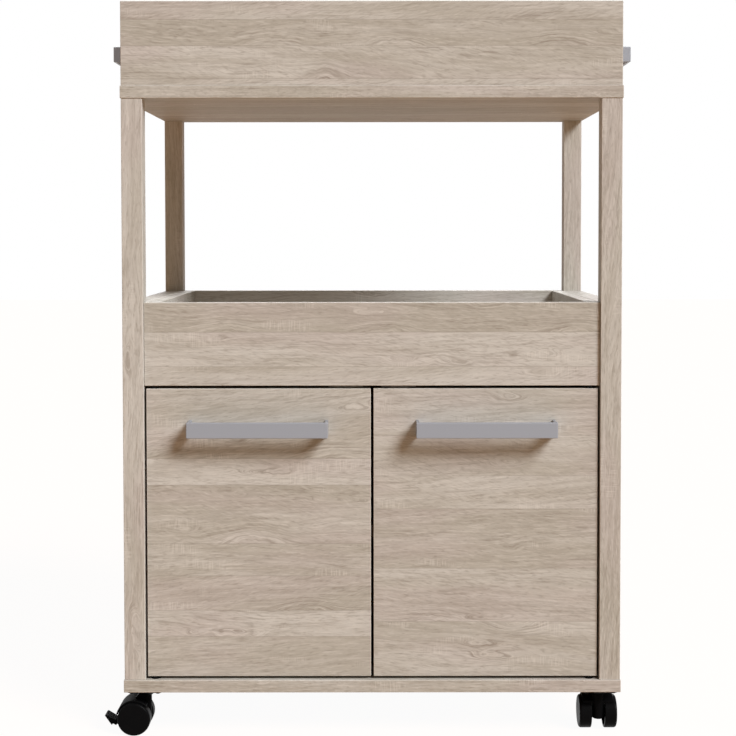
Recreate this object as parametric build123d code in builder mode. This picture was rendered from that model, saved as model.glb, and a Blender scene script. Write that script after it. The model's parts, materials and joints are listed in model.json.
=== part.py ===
from build123d import *
from collections import namedtuple
import os

# Rolling bar cabinet in millimetres: X across, Y from front to back, Z up from the floor.
# The origin lies on the floor, under the middle of the box that holds the whole cabinet.

# Frame of four posts, measured over their outer faces
frame_width = 598.0
frame_depth = 398.0
post_size = 25.0
post_length = 700.0

# Boards
base_thickness = 15.0
board_thickness = 15.0
panel_overhang = 1.0
edge_ease = 0.5
side_panel_height = 456.0

# Bottle tray box, set between the side panels with a little play at each side
box_wall_height = 100.0
box_play = 0.3

# Top tray
tray_wall_height = 100.0

# Back panel and the grooves that hold it in the back posts
back_panel_thickness = 3.0
groove_depth = 8.0
groove_play = 0.2

# Doors, with the gaps beside them, between them, and above and below
door_recess = 4.0
door_gap = 2.5
door_middle_gap = 3.2
door_end_gap = 3.5

# Flat bar handles, the same on the doors and on the tray, with a screw boss inside each leg
handle_length = 168.0
handle_height = 19.0
handle_projection = 28.0
handle_bar = 4.0
handle_leg = 4.0
handle_round = 1.0
handle_boss_radius = 3.6
handle_screw_inset = 4.0
door_handle_drop = 47.2

# Handle screws
handle_screw_radius = 2.0
handle_screw_grip = 8.0
handle_screw_hole_radius = 2.25
handle_screw_head_radius = 4.0
handle_screw_head_height = 2.5
screw_slot_length = 4.0
screw_slot_width = 0.9
screw_slot_depth = 1.0

# Door pivots: a pin with a collar in each door edge, turning in a flanged bush
pivot_from_edge = 9.0
pivot_from_face = 6.0
pivot_radius = 2.5
pivot_play = 0.05
pivot_in_door = 20.0
pivot_collar_radius = 4.5
bush_radius = 4.0
bush_length = 5.5
bush_end_wall = 0.8
bush_flange_radius = 5.5
bush_flange = 0.8
pivot_end_play = 0.1

# Magnetic catches under the box floor and the strike plates on the doors
catch_from_middle = 32.0
catch_width = 22.0
catch_depth = 16.0
catch_height = 14.0
catch_flange_width = 42.0
catch_flange = 3.0
catch_slot_width = 12.0
catch_slot_depth = 1.5
catch_gap = 0.2
catch_screw_radius = 1.5
catch_screw_length = 12.0
catch_screw_head_radius = 3.0
catch_screw_head_height = 2.0
strike_width = 20.0
strike_height = 9.0
strike_thickness = 1.2
strike_from_top = 1.0
strike_peg_radius = 1.5
strike_peg_length = 8.0

# Cabinet shelf on four pins
shelf_rise = 165.0
shelf_setback = 25.0
shelf_play = 1.0
shelf_back_play = 2.0
shelf_pin_radius = 2.5
shelf_pin_in_panel = 9.0
shelf_pin_out = 10.0
shelf_pin_collar_radius = 4.0
shelf_pin_collar = 0.8
shelf_pin_inset = 45.0

# Dowels
dowel_radius = 4.0
dowel_length = 25.0
dowel_play = 0.05
corner_dowel_spacing = 56.0
post_dowel_offset = 3.5
board_end_inset = 70.0

# Cam joints: a disc in the face of one board draws in a bolt screwed into the other
cam_radius = 7.5
cam_height = 12.0
cam_bore_depth = 12.5
cam_play = 0.05
cam_setback = 24.0
cam_channel_radius = 3.9
cam_cross_length = 9.0
cam_cross_width = 1.8
cam_cross_depth = 2.0
cam_bolt_thread_radius = 3.0
cam_bolt_thread_length = 11.0
cam_bolt_shank_radius = 3.5
cam_bolt_bore_radius = 4.0
floor_cam_spacing = 200.0

# Long wood screws: down through the tray floor into the posts, up through the base into the side panels
long_screw_radius = 3.2
long_screw_length = 50.0
long_screw_head_radius = 5.0
long_screw_head_height = 3.5
long_screw_socket_radius = 2.3
long_screw_socket_depth = 2.5
base_screw_spacing = 200.0

# Castors
castor_height = 55.0
castor_inset_side = 23.5
castor_inset_front = 27.5
castor_trail = 13.0
castor_plate_size = 42.0
castor_plate_thickness = 2.5
castor_plate_corner = 4.0
castor_hole_spacing = 32.0
castor_screw_radius = 2.0
castor_screw_length = 11.0
castor_screw_head_radius = 3.2
castor_screw_head_height = 2.0
castor_hole_radius = 2.3
race_radius = 17.0
race_height = 2.5
race_chamfer = 1.0
kingpin_radius = 4.0
kingpin_play = 0.05
kingpin_end_height = 27.0
wheel_radius = 20.0
wheel_inner_face = 8.0
wheel_outer_face = 23.0
wheel_outer_round = 3.0
wheel_inner_round = 1.2
wheel_hub_radius = 6.0
wheel_rim_inner_radius = 16.5
wheel_hollow_depth = 9.0
axle_radius = 2.5
axle_play = 0.05
axle_in_wheel = 12.0
axle_end_play = 0.3
hood_play = 0.7
hood_wall = 1.8
hood_half_width = 19.0
hood_round = 1.5
hood_lead = 15.0
hood_lead_edge = 12.0
hood_trail_edge = 5.0
column_radius = 6.2
column_bottom = 15.5
swivel_boss_radius = 13.0
swivel_boss_height = 5.2
swivel_gap = 0.3
web_half_width = 7.2
web_boss_radius = 8.0

# Brake pedal of the front left and back right castors, its paddle measured from the wheel's rim and its axle
pedal_pivot_back = 14.5
pedal_pivot_up = 10.5
pedal_pin_radius = 2.0
pedal_pin_play = 0.05
pedal_boss_radius = 3.8
pedal_arm_half_width = 4.5
pedal_slot_half_width = 4.9
pedal_half_width = 9.0
pedal_tip_back = 17.4
pedal_tip_up = 1.6
pedal_crest_back = 15.4
pedal_crest_up = 2.4
pedal_heel_back = 8.7
pedal_heel_down = 10.6
pedal_notch_back = 7.2
pedal_notch_down = 8.6
pedal_shoe_back = 3.2
pedal_shoe_top_down = 4.9
pedal_shoe_down = 10.8
pedal_foot_down = 9.3
pedal_foot_radius = 2.2
pedal_arm_round = 1.0
pedal_round = 0.8

# Places worked out from the sizes above
body_y = (handle_projection - door_recess - panel_overhang) / 2
front_y = body_y - frame_depth / 2
back_y = body_y + frame_depth / 2
inner_x = frame_width / 2 - post_size
base_top = castor_height + base_thickness
side_top = base_top + side_panel_height
box_bottom = side_top - box_wall_height
box_floor_top = box_bottom + board_thickness
post_top = base_top + post_length
tray_floor_top = post_top + board_thickness
inner_front_y = front_y + post_size
inner_back_y = back_y - post_size
box_left_x = -inner_x + box_play
box_right_x = inner_x - box_play
box_middle_x = (box_left_x + box_right_x) / 2
box_width = box_right_x - box_left_x
box_front_y = front_y + door_recess
box_floor_front_y = box_front_y + board_thickness
box_floor_back_y = back_y - board_thickness
box_floor_depth = box_floor_back_y - box_floor_front_y
box_floor_middle_y = (box_floor_front_y + box_floor_back_y) / 2
door_back_y = front_y + door_recess + board_thickness
door_width = inner_x - door_gap - door_middle_gap / 2
door_height = box_bottom - base_top - 2 * door_end_gap
door_middle_x = (door_middle_gap + door_width) / 2
door_handle_z = box_bottom - door_end_gap - door_handle_drop
back_panel_y = back_y - board_thickness / 2
tray_side_length = frame_depth - 2 * board_thickness
tray_side_x = (frame_width - board_thickness) / 2
tray_front_y = front_y + board_thickness / 2
tray_back_y = back_y - board_thickness / 2
tray_wall_middle_z = tray_floor_top + tray_wall_height / 2
panel_width = frame_width + 2 * panel_overhang
panel_depth = frame_depth + 2 * panel_overhang
half_board = board_thickness / 2

LEFT = Vector(-1, 0, 0)
RIGHT = Vector(1, 0, 0)
FRONT = Vector(0, -1, 0)
BACK = Vector(0, 1, 0)
UP = Vector(0, 0, 1)
DOWN = Vector(0, 0, -1)
SIDES = (("left", LEFT), ("right", RIGHT))

CamJoint = namedtuple("CamJoint", "seat into face")

os.makedirs("parts", exist_ok=True)


def hand_over(piece, name):
    """Labels a finished piece and writes it under its own name."""
    piece.part.label = name
    export_step(piece.part, f"parts/{name}.step")


def planes(points, direction):
    """One plane at each point, all facing one way."""
    return [Plane(origin=point, z_dir=direction) for point in points]


def bore_dowels(sites):
    """Cuts the dowel holes from the board that is being built."""
    with Locations(*sites):
        Cylinder(dowel_radius + dowel_play, dowel_length, mode=Mode.SUBTRACT)


def bore_cams(joints):
    """Cuts the thread hole, the shank bore and the disc bore of each cam joint."""
    bolt_planes = [bolt_plane(joint) for joint in joints]
    with Locations(*bolt_planes):
        Cylinder(
            cam_bolt_thread_radius,
            cam_bolt_thread_length,
            align=(Align.CENTER, Align.CENTER, Align.MAX),
            mode=Mode.SUBTRACT,
        )
        Cylinder(
            cam_bolt_bore_radius,
            cam_setback,
            align=(Align.CENTER, Align.CENTER, Align.MIN),
            mode=Mode.SUBTRACT,
        )
    with Locations(*[cam_plane(joint) for joint in joints]):
        Cylinder(
            cam_radius + cam_play,
            cam_bore_depth,
            align=(Align.CENTER, Align.CENTER, Align.MAX),
            mode=Mode.SUBTRACT,
        )


def bolt_plane(joint):
    """Where a cam bolt leaves the board that it is screwed into."""
    return Plane(origin=joint.seat, z_dir=joint.into)


def cam_plane(joint):
    """The middle of a cam disc's outer face."""
    centre = joint.seat + joint.into * cam_setback + joint.face * half_board
    return Plane(origin=centre, z_dir=joint.face)


def board(name, centre, size, dowels=(), cams=()):
    """A board with eased edges, bored for its dowels and cam joints."""
    with BuildPart() as piece:
        with BuildSketch(Plane(origin=centre)):
            Rectangle(size.X, size.Y)
        extrude(amount=size.Z / 2, both=True)
        chamfer(piece.edges(), edge_ease)
        if dowels:
            bore_dowels(dowels)
        if cams:
            bore_cams(cams)
    hand_over(piece, name)


# Post places, and the dowels between posts and base
post_x = frame_width / 2 - post_size / 2
post_y = frame_depth / 2 - post_size / 2
post_places = {
    "front_left": Vector(-post_x, body_y - post_y, 0),
    "front_right": Vector(post_x, body_y - post_y, 0),
    "back_left": Vector(-post_x, body_y + post_y, 0),
    "back_right": Vector(post_x, body_y + post_y, 0),
}
inward = {
    "left": RIGHT * post_dowel_offset,
    "right": LEFT * post_dowel_offset,
    "front": BACK * post_dowel_offset,
    "back": FRONT * post_dowel_offset,
}
post_base_dowels = [
    Plane(origin=place + UP * base_top + inward[name.split("_")[0]] + inward[name.split("_")[1]])
    for name, place in post_places.items()
]

# Dowels between side panels and posts, three at each upright joint
side_panel_x = post_x
side_dowel_heights = [
    base_top + board_end_inset,
    (base_top + side_top) / 2,
    side_top - board_end_inset,
]
side_joint_ys = (inner_front_y, inner_back_y)
side_post_dowels = {
    side: planes(
        [Vector(out.X * side_panel_x, y, z) for y in side_joint_ys for z in side_dowel_heights],
        BACK,
    )
    for side, out in SIDES
}

# Box floor to side panels: two cams and two dowels at each end
floor_middle_z = box_bottom + half_board
floor_cams = {
    side: [
        CamJoint(Vector(out.X * inner_x, body_y + y, floor_middle_z), out * -1, DOWN)
        for y in (-floor_cam_spacing / 2, floor_cam_spacing / 2)
    ]
    for side, out in SIDES
}
floor_end_dowels = {
    side: planes(
        [Vector(out.X * inner_x, body_y + y, floor_middle_z) for y in (-board_end_inset, board_end_inset)],
        RIGHT,
    )
    for side, out in SIDES
}

# Box walls on and around the box floor
box_side_x = {"left": box_left_x + half_board, "right": box_right_x - half_board}
box_side_height = side_top - box_floor_top
box_side_middle_z = (box_floor_top + side_top) / 2
box_side_floor_dowels = {
    side: planes(
        [
            Vector(box_side_x[side], y, box_floor_top)
            for y in (box_floor_front_y + board_end_inset, box_floor_back_y - board_end_inset)
        ],
        UP,
    )
    for side, out in SIDES
}
box_edge_dowel_xs = (box_left_x + board_end_inset, box_middle_x, box_right_x - board_end_inset)
box_edge_dowels = {
    end: planes([Vector(x, y, floor_middle_z) for x in box_edge_dowel_xs], BACK)
    for end, y in (("front", box_floor_front_y), ("back", box_floor_back_y))
}


def corner_dowels(x, y, middle_z):
    """The two dowels of an upright corner joint between a side wall's end and the wall across it."""
    half = corner_dowel_spacing / 2
    return planes([Vector(x, y, middle_z - half), Vector(x, y, middle_z + half)], BACK)


def corner_cam(x, y, middle_z, into, out):
    """The cam joint of an upright corner, its disc on the inner face of the side wall."""
    return [CamJoint(Vector(x, y, middle_z), into, out * -1)]


box_corner_dowels = {}
box_corner_cams = {}
tray_corner_dowels = {}
tray_corner_cams = {}
for side, out in SIDES:
    for end, box_y, tray_y, into in (
        ("front", box_floor_front_y, front_y + board_thickness, BACK),
        ("back", box_floor_back_y, back_y - board_thickness, FRONT),
    ):
        box_x = box_side_x[side]
        tray_x = out.X * tray_side_x
        box_corner_dowels[side, end] = corner_dowels(box_x, box_y, box_side_middle_z)
        box_corner_cams[side, end] = corner_cam(box_x, box_y, box_side_middle_z, into, out)
        tray_corner_dowels[side, end] = corner_dowels(tray_x, tray_y, tray_wall_middle_z)
        tray_corner_cams[side, end] = corner_cam(tray_x, tray_y, tray_wall_middle_z, into, out)

# Tray walls on the tray floor
tray_end_dowel_xs = (-frame_width / 2 + board_end_inset, 0, frame_width / 2 - board_end_inset)
tray_end_dowels = {
    end: planes([Vector(x, y, tray_floor_top) for x in tray_end_dowel_xs], UP)
    for end, y in (("front", tray_front_y), ("back", tray_back_y))
}
tray_side_dowel_ys = (front_y + board_end_inset, back_y - board_end_inset)
tray_side_dowels = {
    side: planes([Vector(out.X * tray_side_x, y, tray_floor_top) for y in tray_side_dowel_ys], UP)
    for side, out in SIDES
}

# Long screws, each plane facing out of the board at the screw's head
tray_screw_planes = planes([place + UP * tray_floor_top for place in post_places.values()], UP)
base_screw_planes = planes(
    [
        Vector(x, body_y + y, castor_height)
        for x in (-side_panel_x, side_panel_x)
        for y in (-base_screw_spacing / 2, base_screw_spacing / 2)
    ],
    DOWN,
)

# Castor swivel axes, with the way that each wheel pair trails and whether it has a brake
castor_x = panel_width / 2 - castor_inset_side
castor_y = panel_depth / 2 - castor_inset_front
Castor = namedtuple("Castor", "swivel lead brake")
castors = {
    "front_left": Castor(Vector(-castor_x, body_y - castor_y, 0), RIGHT, True),
    "front_right": Castor(Vector(castor_x, body_y - castor_y, 0), FRONT, False),
    "back_left": Castor(Vector(-castor_x, body_y + castor_y, 0), BACK, False),
    "back_right": Castor(Vector(castor_x, body_y + castor_y, 0), LEFT, True),
}
castor_screw_points = [
    castor.swivel + Vector(x, y, 0)
    for castor in castors.values()
    for x in (-castor_hole_spacing / 2, castor_hole_spacing / 2)
    for y in (-castor_hole_spacing / 2, castor_hole_spacing / 2)
]
castor_pilot_planes = planes([point + UP * castor_height for point in castor_screw_points], UP)

# Door hinge axes
hinge_y = front_y + door_recess + pivot_from_face
hinge_x = inner_x - door_gap - pivot_from_edge
bush_bore = bush_flange + bush_length - bush_end_wall
pivot_reach = door_end_gap + bush_length - bush_end_wall - pivot_end_play


def bore_long_screws(screw_planes):
    """Cuts the countersunk holes of the long screws."""
    with Locations(*screw_planes):
        Cylinder(
            long_screw_radius,
            long_screw_length,
            align=(Align.CENTER, Align.CENTER, Align.MAX),
            mode=Mode.SUBTRACT,
        )
        Cone(
            long_screw_radius,
            long_screw_head_radius,
            long_screw_head_height,
            align=(Align.CENTER, Align.CENTER, Align.MAX),
            mode=Mode.SUBTRACT,
        )


def bore_blind(hole_planes, radius, depth):
    """Cuts blind holes that run down from each plane."""
    with Locations(*hole_planes):
        Cylinder(
            radius,
            depth,
            align=(Align.CENTER, Align.CENTER, Align.MAX),
            mode=Mode.SUBTRACT,
        )


# Base panel, with the bush holes of the lower door pivots
with BuildPart() as base_panel:
    with BuildSketch(Plane(origin=(0, body_y, castor_height))):
        Rectangle(panel_width, panel_depth)
    extrude(amount=base_thickness)
    chamfer(base_panel.edges(), edge_ease)
    bore_dowels(post_base_dowels)
    bore_long_screws(base_screw_planes)
    bore_blind(
        planes([point + UP * castor_height for point in castor_screw_points], DOWN),
        castor_screw_radius,
        castor_screw_length - castor_plate_thickness,
    )
    bore_blind(planes([(x, hinge_y, base_top) for x in (-hinge_x, hinge_x)], UP), bush_radius, bush_length)
hand_over(base_panel, "base_panel")

# Posts; the back ones are grooved for the back panel
for place_name, place in post_places.items():
    side = place_name.split("_")[1]
    with BuildPart() as post:
        with BuildSketch(Plane(origin=place + UP * base_top)):
            Rectangle(post_size, post_size)
        extrude(amount=post_length)
        chamfer(post.edges(), edge_ease)
        bore_dowels(post_base_dowels + side_post_dowels[side])
        bore_long_screws(tray_screw_planes)
        if "back" in place_name:
            with BuildSketch(Plane(origin=(0, back_panel_y, base_top))):
                Rectangle(2 * (inner_x + groove_depth), back_panel_thickness + 2 * groove_play)
            extrude(amount=box_bottom - base_top, mode=Mode.SUBTRACT)
    hand_over(post, f"post_{place_name}")

# Side panels, with rows of holes for the shelf pins
shelf_front_y = door_back_y + shelf_setback
shelf_back_y = back_panel_y - back_panel_thickness / 2 - shelf_back_play
shelf_bottom = base_top + shelf_rise
shelf_pin_z = shelf_bottom - shelf_pin_radius
shelf_pin_ys = (shelf_front_y + shelf_pin_inset, shelf_back_y - shelf_pin_inset)
shelf_pin_spacing = 32.0
shelf_pin_rows = (-shelf_pin_spacing, 0, shelf_pin_spacing)
for side, out in SIDES:
    with BuildPart() as side_panel:
        with BuildSketch(Plane(origin=(out.X * side_panel_x, body_y, base_top))):
            Rectangle(post_size, inner_back_y - inner_front_y)
        extrude(amount=side_panel_height)
        chamfer(side_panel.edges(), edge_ease)
        bore_dowels(side_post_dowels[side] + floor_end_dowels[side])
        bore_cams(floor_cams[side])
        bore_long_screws(base_screw_planes)
        pin_holes = [
            Vector(out.X * inner_x, y, shelf_pin_z + row) for y in shelf_pin_ys for row in shelf_pin_rows
        ]
        bore_blind(planes(pin_holes, out * -1), shelf_pin_radius, shelf_pin_in_panel)
    hand_over(side_panel, f"side_panel_{side}")

# Back panel
with BuildPart() as back_panel:
    with BuildSketch(Plane(origin=(0, back_panel_y, base_top))):
        Rectangle(2 * (inner_x + groove_depth - groove_play), back_panel_thickness)
    extrude(amount=box_bottom - base_top)
hand_over(back_panel, "back_panel")

# Cabinet shelf and its pins
board(
    "cabinet_shelf",
    Vector(0, (shelf_front_y + shelf_back_y) / 2, shelf_bottom + half_board),
    Vector(2 * (inner_x - shelf_play), shelf_back_y - shelf_front_y, board_thickness),
)
with BuildPart() as shelf_pins:
    for side, out in SIDES:
        with Locations(*planes([Vector(out.X * inner_x, y, shelf_pin_z) for y in shelf_pin_ys], out * -1)):
            Cylinder(
                shelf_pin_radius,
                shelf_pin_in_panel,
                align=(Align.CENTER, Align.CENTER, Align.MAX),
            )
            Cylinder(
                shelf_pin_radius,
                shelf_pin_out,
                align=(Align.CENTER, Align.CENTER, Align.MIN),
            )
            Cylinder(
                shelf_pin_collar_radius,
                shelf_pin_collar,
                align=(Align.CENTER, Align.CENTER, Align.MIN),
            )
hand_over(shelf_pins, "shelf_pins")

# Bottle tray box: the floor carries the walls and is the cabinet's ceiling
all_floor_cams = floor_cams["left"] + floor_cams["right"]
catch_front_y = door_back_y + strike_thickness + catch_gap
catch_middle_y = catch_front_y + catch_depth / 2
catch_ear_x = (catch_width + catch_flange_width) / 4
catch_screw_points = [
    Vector(side_x + ear_x, catch_middle_y, box_bottom)
    for side_x in (-catch_from_middle, catch_from_middle)
    for ear_x in (-catch_ear_x, catch_ear_x)
]
with BuildPart() as bottle_tray_floor:
    with BuildSketch(Plane(origin=(0, box_floor_middle_y, box_bottom))):
        Rectangle(2 * inner_x, box_floor_depth)
    extrude(amount=board_thickness)
    chamfer(bottle_tray_floor.edges(), edge_ease)
    bore_dowels(floor_end_dowels["left"] + floor_end_dowels["right"])
    bore_dowels(box_side_floor_dowels["left"] + box_side_floor_dowels["right"])
    bore_dowels(box_edge_dowels["front"] + box_edge_dowels["back"])
    bore_cams(all_floor_cams)
    bore_blind(planes(catch_screw_points, DOWN), catch_screw_radius, catch_screw_length - catch_flange)
hand_over(bottle_tray_floor, "bottle_tray_floor")

for side, out in SIDES:
    board(
        f"bottle_tray_{side}",
        Vector(box_side_x[side], box_floor_middle_y, box_side_middle_z),
        Vector(board_thickness, box_floor_depth, box_side_height),
        box_side_floor_dowels[side] + box_corner_dowels[side, "front"] + box_corner_dowels[side, "back"],
        box_corner_cams[side, "front"] + box_corner_cams[side, "back"],
    )
for end, middle_y in (("front", box_front_y + half_board), ("back", back_y - half_board)):
    with BuildPart() as end_wall:
        with BuildSketch(Plane(origin=(box_middle_x, middle_y, box_bottom))):
            Rectangle(box_width, board_thickness)
        extrude(amount=box_wall_height)
        chamfer(end_wall.edges(), edge_ease)
        bore_dowels(box_edge_dowels[end] + box_corner_dowels["left", end] + box_corner_dowels["right", end])
        bore_cams(box_corner_cams["left", end] + box_corner_cams["right", end])
        if end == "front":
            bush_holes = planes([(x, hinge_y, box_bottom) for x in (-hinge_x, hinge_x)], DOWN)
            bore_blind(bush_holes, bush_radius, bush_length)
    hand_over(end_wall, f"bottle_tray_{end}")

# Top tray
with BuildPart() as top_tray_floor:
    with BuildSketch(Plane(origin=(0, body_y, post_top))):
        Rectangle(panel_width, panel_depth)
    extrude(amount=board_thickness)
    chamfer(top_tray_floor.edges(), edge_ease)
    bore_dowels(tray_end_dowels["front"] + tray_end_dowels["back"])
    bore_dowels(tray_side_dowels["left"] + tray_side_dowels["right"])
    bore_long_screws(tray_screw_planes)
hand_over(top_tray_floor, "top_tray_floor")

for end, middle_y in (("front", tray_front_y), ("back", tray_back_y)):
    board(
        f"top_tray_{end}",
        Vector(0, middle_y, tray_wall_middle_z),
        Vector(frame_width, board_thickness, tray_wall_height),
        tray_end_dowels[end] + tray_corner_dowels["left", end] + tray_corner_dowels["right", end],
        tray_corner_cams["left", end] + tray_corner_cams["right", end],
    )
screw_pitch = handle_length - 2 * handle_screw_inset
screw_offsets = (-screw_pitch / 2, screw_pitch / 2)
for side, out in SIDES:
    outer_x = out.X * frame_width / 2
    screw_points = [Vector(outer_x, body_y + offset, tray_wall_middle_z) for offset in screw_offsets]
    with BuildPart() as tray_side:
        with BuildSketch(Plane(origin=(out.X * tray_side_x, body_y, tray_floor_top))):
            Rectangle(board_thickness, tray_side_length)
        extrude(amount=tray_wall_height)
        chamfer(tray_side.edges(), edge_ease)
        bore_dowels(tray_side_dowels[side])
        bore_dowels(tray_corner_dowels[side, "front"] + tray_corner_dowels[side, "back"])
        bore_cams(tray_corner_cams[side, "front"] + tray_corner_cams[side, "back"])
        bore_blind(planes(screw_points, out), handle_screw_hole_radius, board_thickness)
    hand_over(tray_side, f"top_tray_{side}")


def handle(name, seat, along, out):
    """A flat bar on two legs, each with a round boss that is tapped for its screw."""
    plane = Plane(origin=seat, x_dir=along, z_dir=along.cross(out))
    with BuildPart() as bar_handle:
        with BuildSketch(plane):
            Rectangle(handle_length, handle_projection, align=(Align.CENTER, Align.MIN))
            Rectangle(
                handle_length - 2 * handle_leg,
                handle_projection - handle_bar,
                align=(Align.CENTER, Align.MIN),
                mode=Mode.SUBTRACT,
            )
        extrude(amount=handle_height / 2, both=True)
        fillet(bar_handle.edges(), handle_round)
        ends = [seat + along * offset for offset in screw_offsets]
        with Locations(*planes(ends, out)):
            Cylinder(
                handle_boss_radius,
                handle_projection - handle_bar,
                align=(Align.CENTER, Align.CENTER, Align.MIN),
            )
        bore_blind(planes(ends, out * -1), handle_screw_radius, handle_screw_grip)
    hand_over(bar_handle, name)


def pan_screws(screw_planes, radius, length, head_radius, head_height):
    """Slotted pan head screws, each plane facing out of the board at the head's seat."""
    with Locations(*screw_planes):
        Cylinder(radius, length, align=(Align.CENTER, Align.CENTER, Align.MAX))
        Cylinder(head_radius, head_height, align=(Align.CENTER, Align.CENTER, Align.MIN))
    head_planes = [plane.offset(head_height) for plane in screw_planes]
    with BuildSketch(*head_planes) as slots:
        Rectangle(screw_slot_length, screw_slot_width)
        Rectangle(screw_slot_width, screw_slot_length)
    extrude(slots.sketch, amount=-screw_slot_depth, mode=Mode.SUBTRACT)


# Tray handles and their screws, driven from inside the tray
tray_screw_seats = []
for side, out in SIDES:
    seat = Vector(out.X * frame_width / 2, body_y, tray_wall_middle_z)
    handle(f"tray_handle_{side}", seat, BACK, out)
    for offset in screw_offsets:
        tray_screw_seats.append(Plane(origin=seat + BACK * offset + out * -board_thickness, z_dir=out * -1))
with BuildPart() as tray_handle_screws:
    pan_screws(
        tray_screw_seats,
        handle_screw_radius,
        board_thickness + handle_screw_grip,
        handle_screw_head_radius,
        handle_screw_head_height,
    )
hand_over(tray_handle_screws, "tray_handle_screws")

# Doors with their handles, handle screws, pivots and strike plates
strike_z = box_bottom - door_end_gap - strike_from_top - strike_height / 2
collar_length = door_end_gap - bush_flange - pivot_end_play
for side, out in SIDES:
    middle_x = out.X * door_middle_x
    axis_x = out.X * hinge_x
    strike_x = out.X * catch_from_middle
    door_front_y = front_y + door_recess
    screw_seats = planes([(middle_x + offset, door_back_y, door_handle_z) for offset in screw_offsets], BACK)
    upper_pivot = Plane(origin=(axis_x, hinge_y, box_bottom - door_end_gap), z_dir=UP)
    lower_pivot = Plane(origin=(axis_x, hinge_y, base_top + door_end_gap), z_dir=DOWN)
    with BuildPart() as door:
        with BuildSketch(Plane(origin=(middle_x, door_front_y + half_board, base_top + door_end_gap))):
            Rectangle(door_width, board_thickness)
        extrude(amount=door_height)
        chamfer(door.edges(), edge_ease)
        bore_blind(screw_seats, handle_screw_hole_radius, board_thickness)
        bore_blind([upper_pivot, lower_pivot], pivot_radius, pivot_in_door)
        bore_blind(planes([(strike_x, door_back_y, strike_z)], BACK), strike_peg_radius, strike_peg_length)
    hand_over(door, f"{side}_door")

    handle(f"{side}_door_handle", Vector(middle_x, door_front_y, door_handle_z), RIGHT, FRONT)

    with BuildPart() as door_screws:
        pan_screws(
            screw_seats,
            handle_screw_radius,
            board_thickness + handle_screw_grip,
            handle_screw_head_radius,
            handle_screw_head_height,
        )
    hand_over(door_screws, f"{side}_door_handle_screws")

    with BuildPart() as pivots:
        with Locations(upper_pivot, lower_pivot):
            Cylinder(pivot_radius, pivot_in_door, align=(Align.CENTER, Align.CENTER, Align.MAX))
            Cylinder(pivot_collar_radius, collar_length, align=(Align.CENTER, Align.CENTER, Align.MIN))
            Cylinder(pivot_radius, pivot_reach, align=(Align.CENTER, Align.CENTER, Align.MIN))
    hand_over(pivots, f"{side}_door_pivots")

    with BuildPart() as strike:
        strike_seat = Plane(origin=(strike_x, door_back_y, strike_z), x_dir=RIGHT, z_dir=BACK)
        with BuildSketch(strike_seat):
            Rectangle(strike_width, strike_height)
        extrude(amount=strike_thickness)
        fillet(strike.edges().filter_by(Axis.Y), edge_ease)
        with Locations(strike_seat):
            Cylinder(strike_peg_radius, strike_peg_length, align=(Align.CENTER, Align.CENTER, Align.MAX))
    hand_over(strike, f"{side}_strike_plate")

# Flanged bushes of the door pivots, two in the base and two in the box's front board
bush_planes = []
for x in (-hinge_x, hinge_x):
    bush_planes.append(Plane(origin=(x, hinge_y, base_top), z_dir=UP))
    bush_planes.append(Plane(origin=(x, hinge_y, box_bottom), z_dir=DOWN))
with BuildPart() as pivot_bushes:
    with Locations(*bush_planes):
        Cylinder(bush_radius, bush_length, align=(Align.CENTER, Align.CENTER, Align.MAX))
        Cylinder(bush_flange_radius, bush_flange, align=(Align.CENTER, Align.CENTER, Align.MIN))
    flange_planes = [plane.offset(bush_flange) for plane in bush_planes]
    bore_blind(flange_planes, pivot_radius + pivot_play, bush_bore)
hand_over(pivot_bushes, "pivot_bushes")

# Magnetic catches and their screws
with BuildPart() as magnetic_catches:
    with BuildSketch(Plane(origin=(0, catch_middle_y, box_bottom))):
        with Locations((-catch_from_middle, 0), (catch_from_middle, 0)):
            Rectangle(catch_width, catch_depth)
    extrude(amount=-catch_height)
    with BuildSketch(Plane(origin=(0, catch_middle_y, box_bottom))):
        with Locations((-catch_from_middle, 0), (catch_from_middle, 0)):
            Rectangle(catch_flange_width, catch_depth)
    extrude(amount=-catch_flange)
    with BuildSketch(Plane(origin=(0, catch_front_y, strike_z), x_dir=RIGHT, z_dir=BACK)):
        with Locations((-catch_from_middle, 0), (catch_from_middle, 0)):
            Rectangle(catch_slot_width, catch_slot_depth * 2)
    extrude(amount=catch_slot_depth, mode=Mode.SUBTRACT)
    bore_blind(planes(catch_screw_points, UP), catch_screw_radius, catch_flange)
hand_over(magnetic_catches, "magnetic_catches")

with BuildPart() as catch_screws:
    pan_screws(
        planes([point + DOWN * catch_flange for point in catch_screw_points], DOWN),
        catch_screw_radius,
        catch_screw_length,
        catch_screw_head_radius,
        catch_screw_head_height,
    )
hand_over(catch_screws, "catch_screws")

# Dowels of every joint
dowel_sites = list(post_base_dowels)
for group in (
    side_post_dowels,
    floor_end_dowels,
    box_side_floor_dowels,
    box_edge_dowels,
    box_corner_dowels,
    tray_corner_dowels,
    tray_end_dowels,
    tray_side_dowels,
):
    for sites in group.values():
        dowel_sites += sites
with BuildPart() as dowels:
    with Locations(*dowel_sites):
        Cylinder(dowel_radius, dowel_length)
hand_over(dowels, "dowels")

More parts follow.
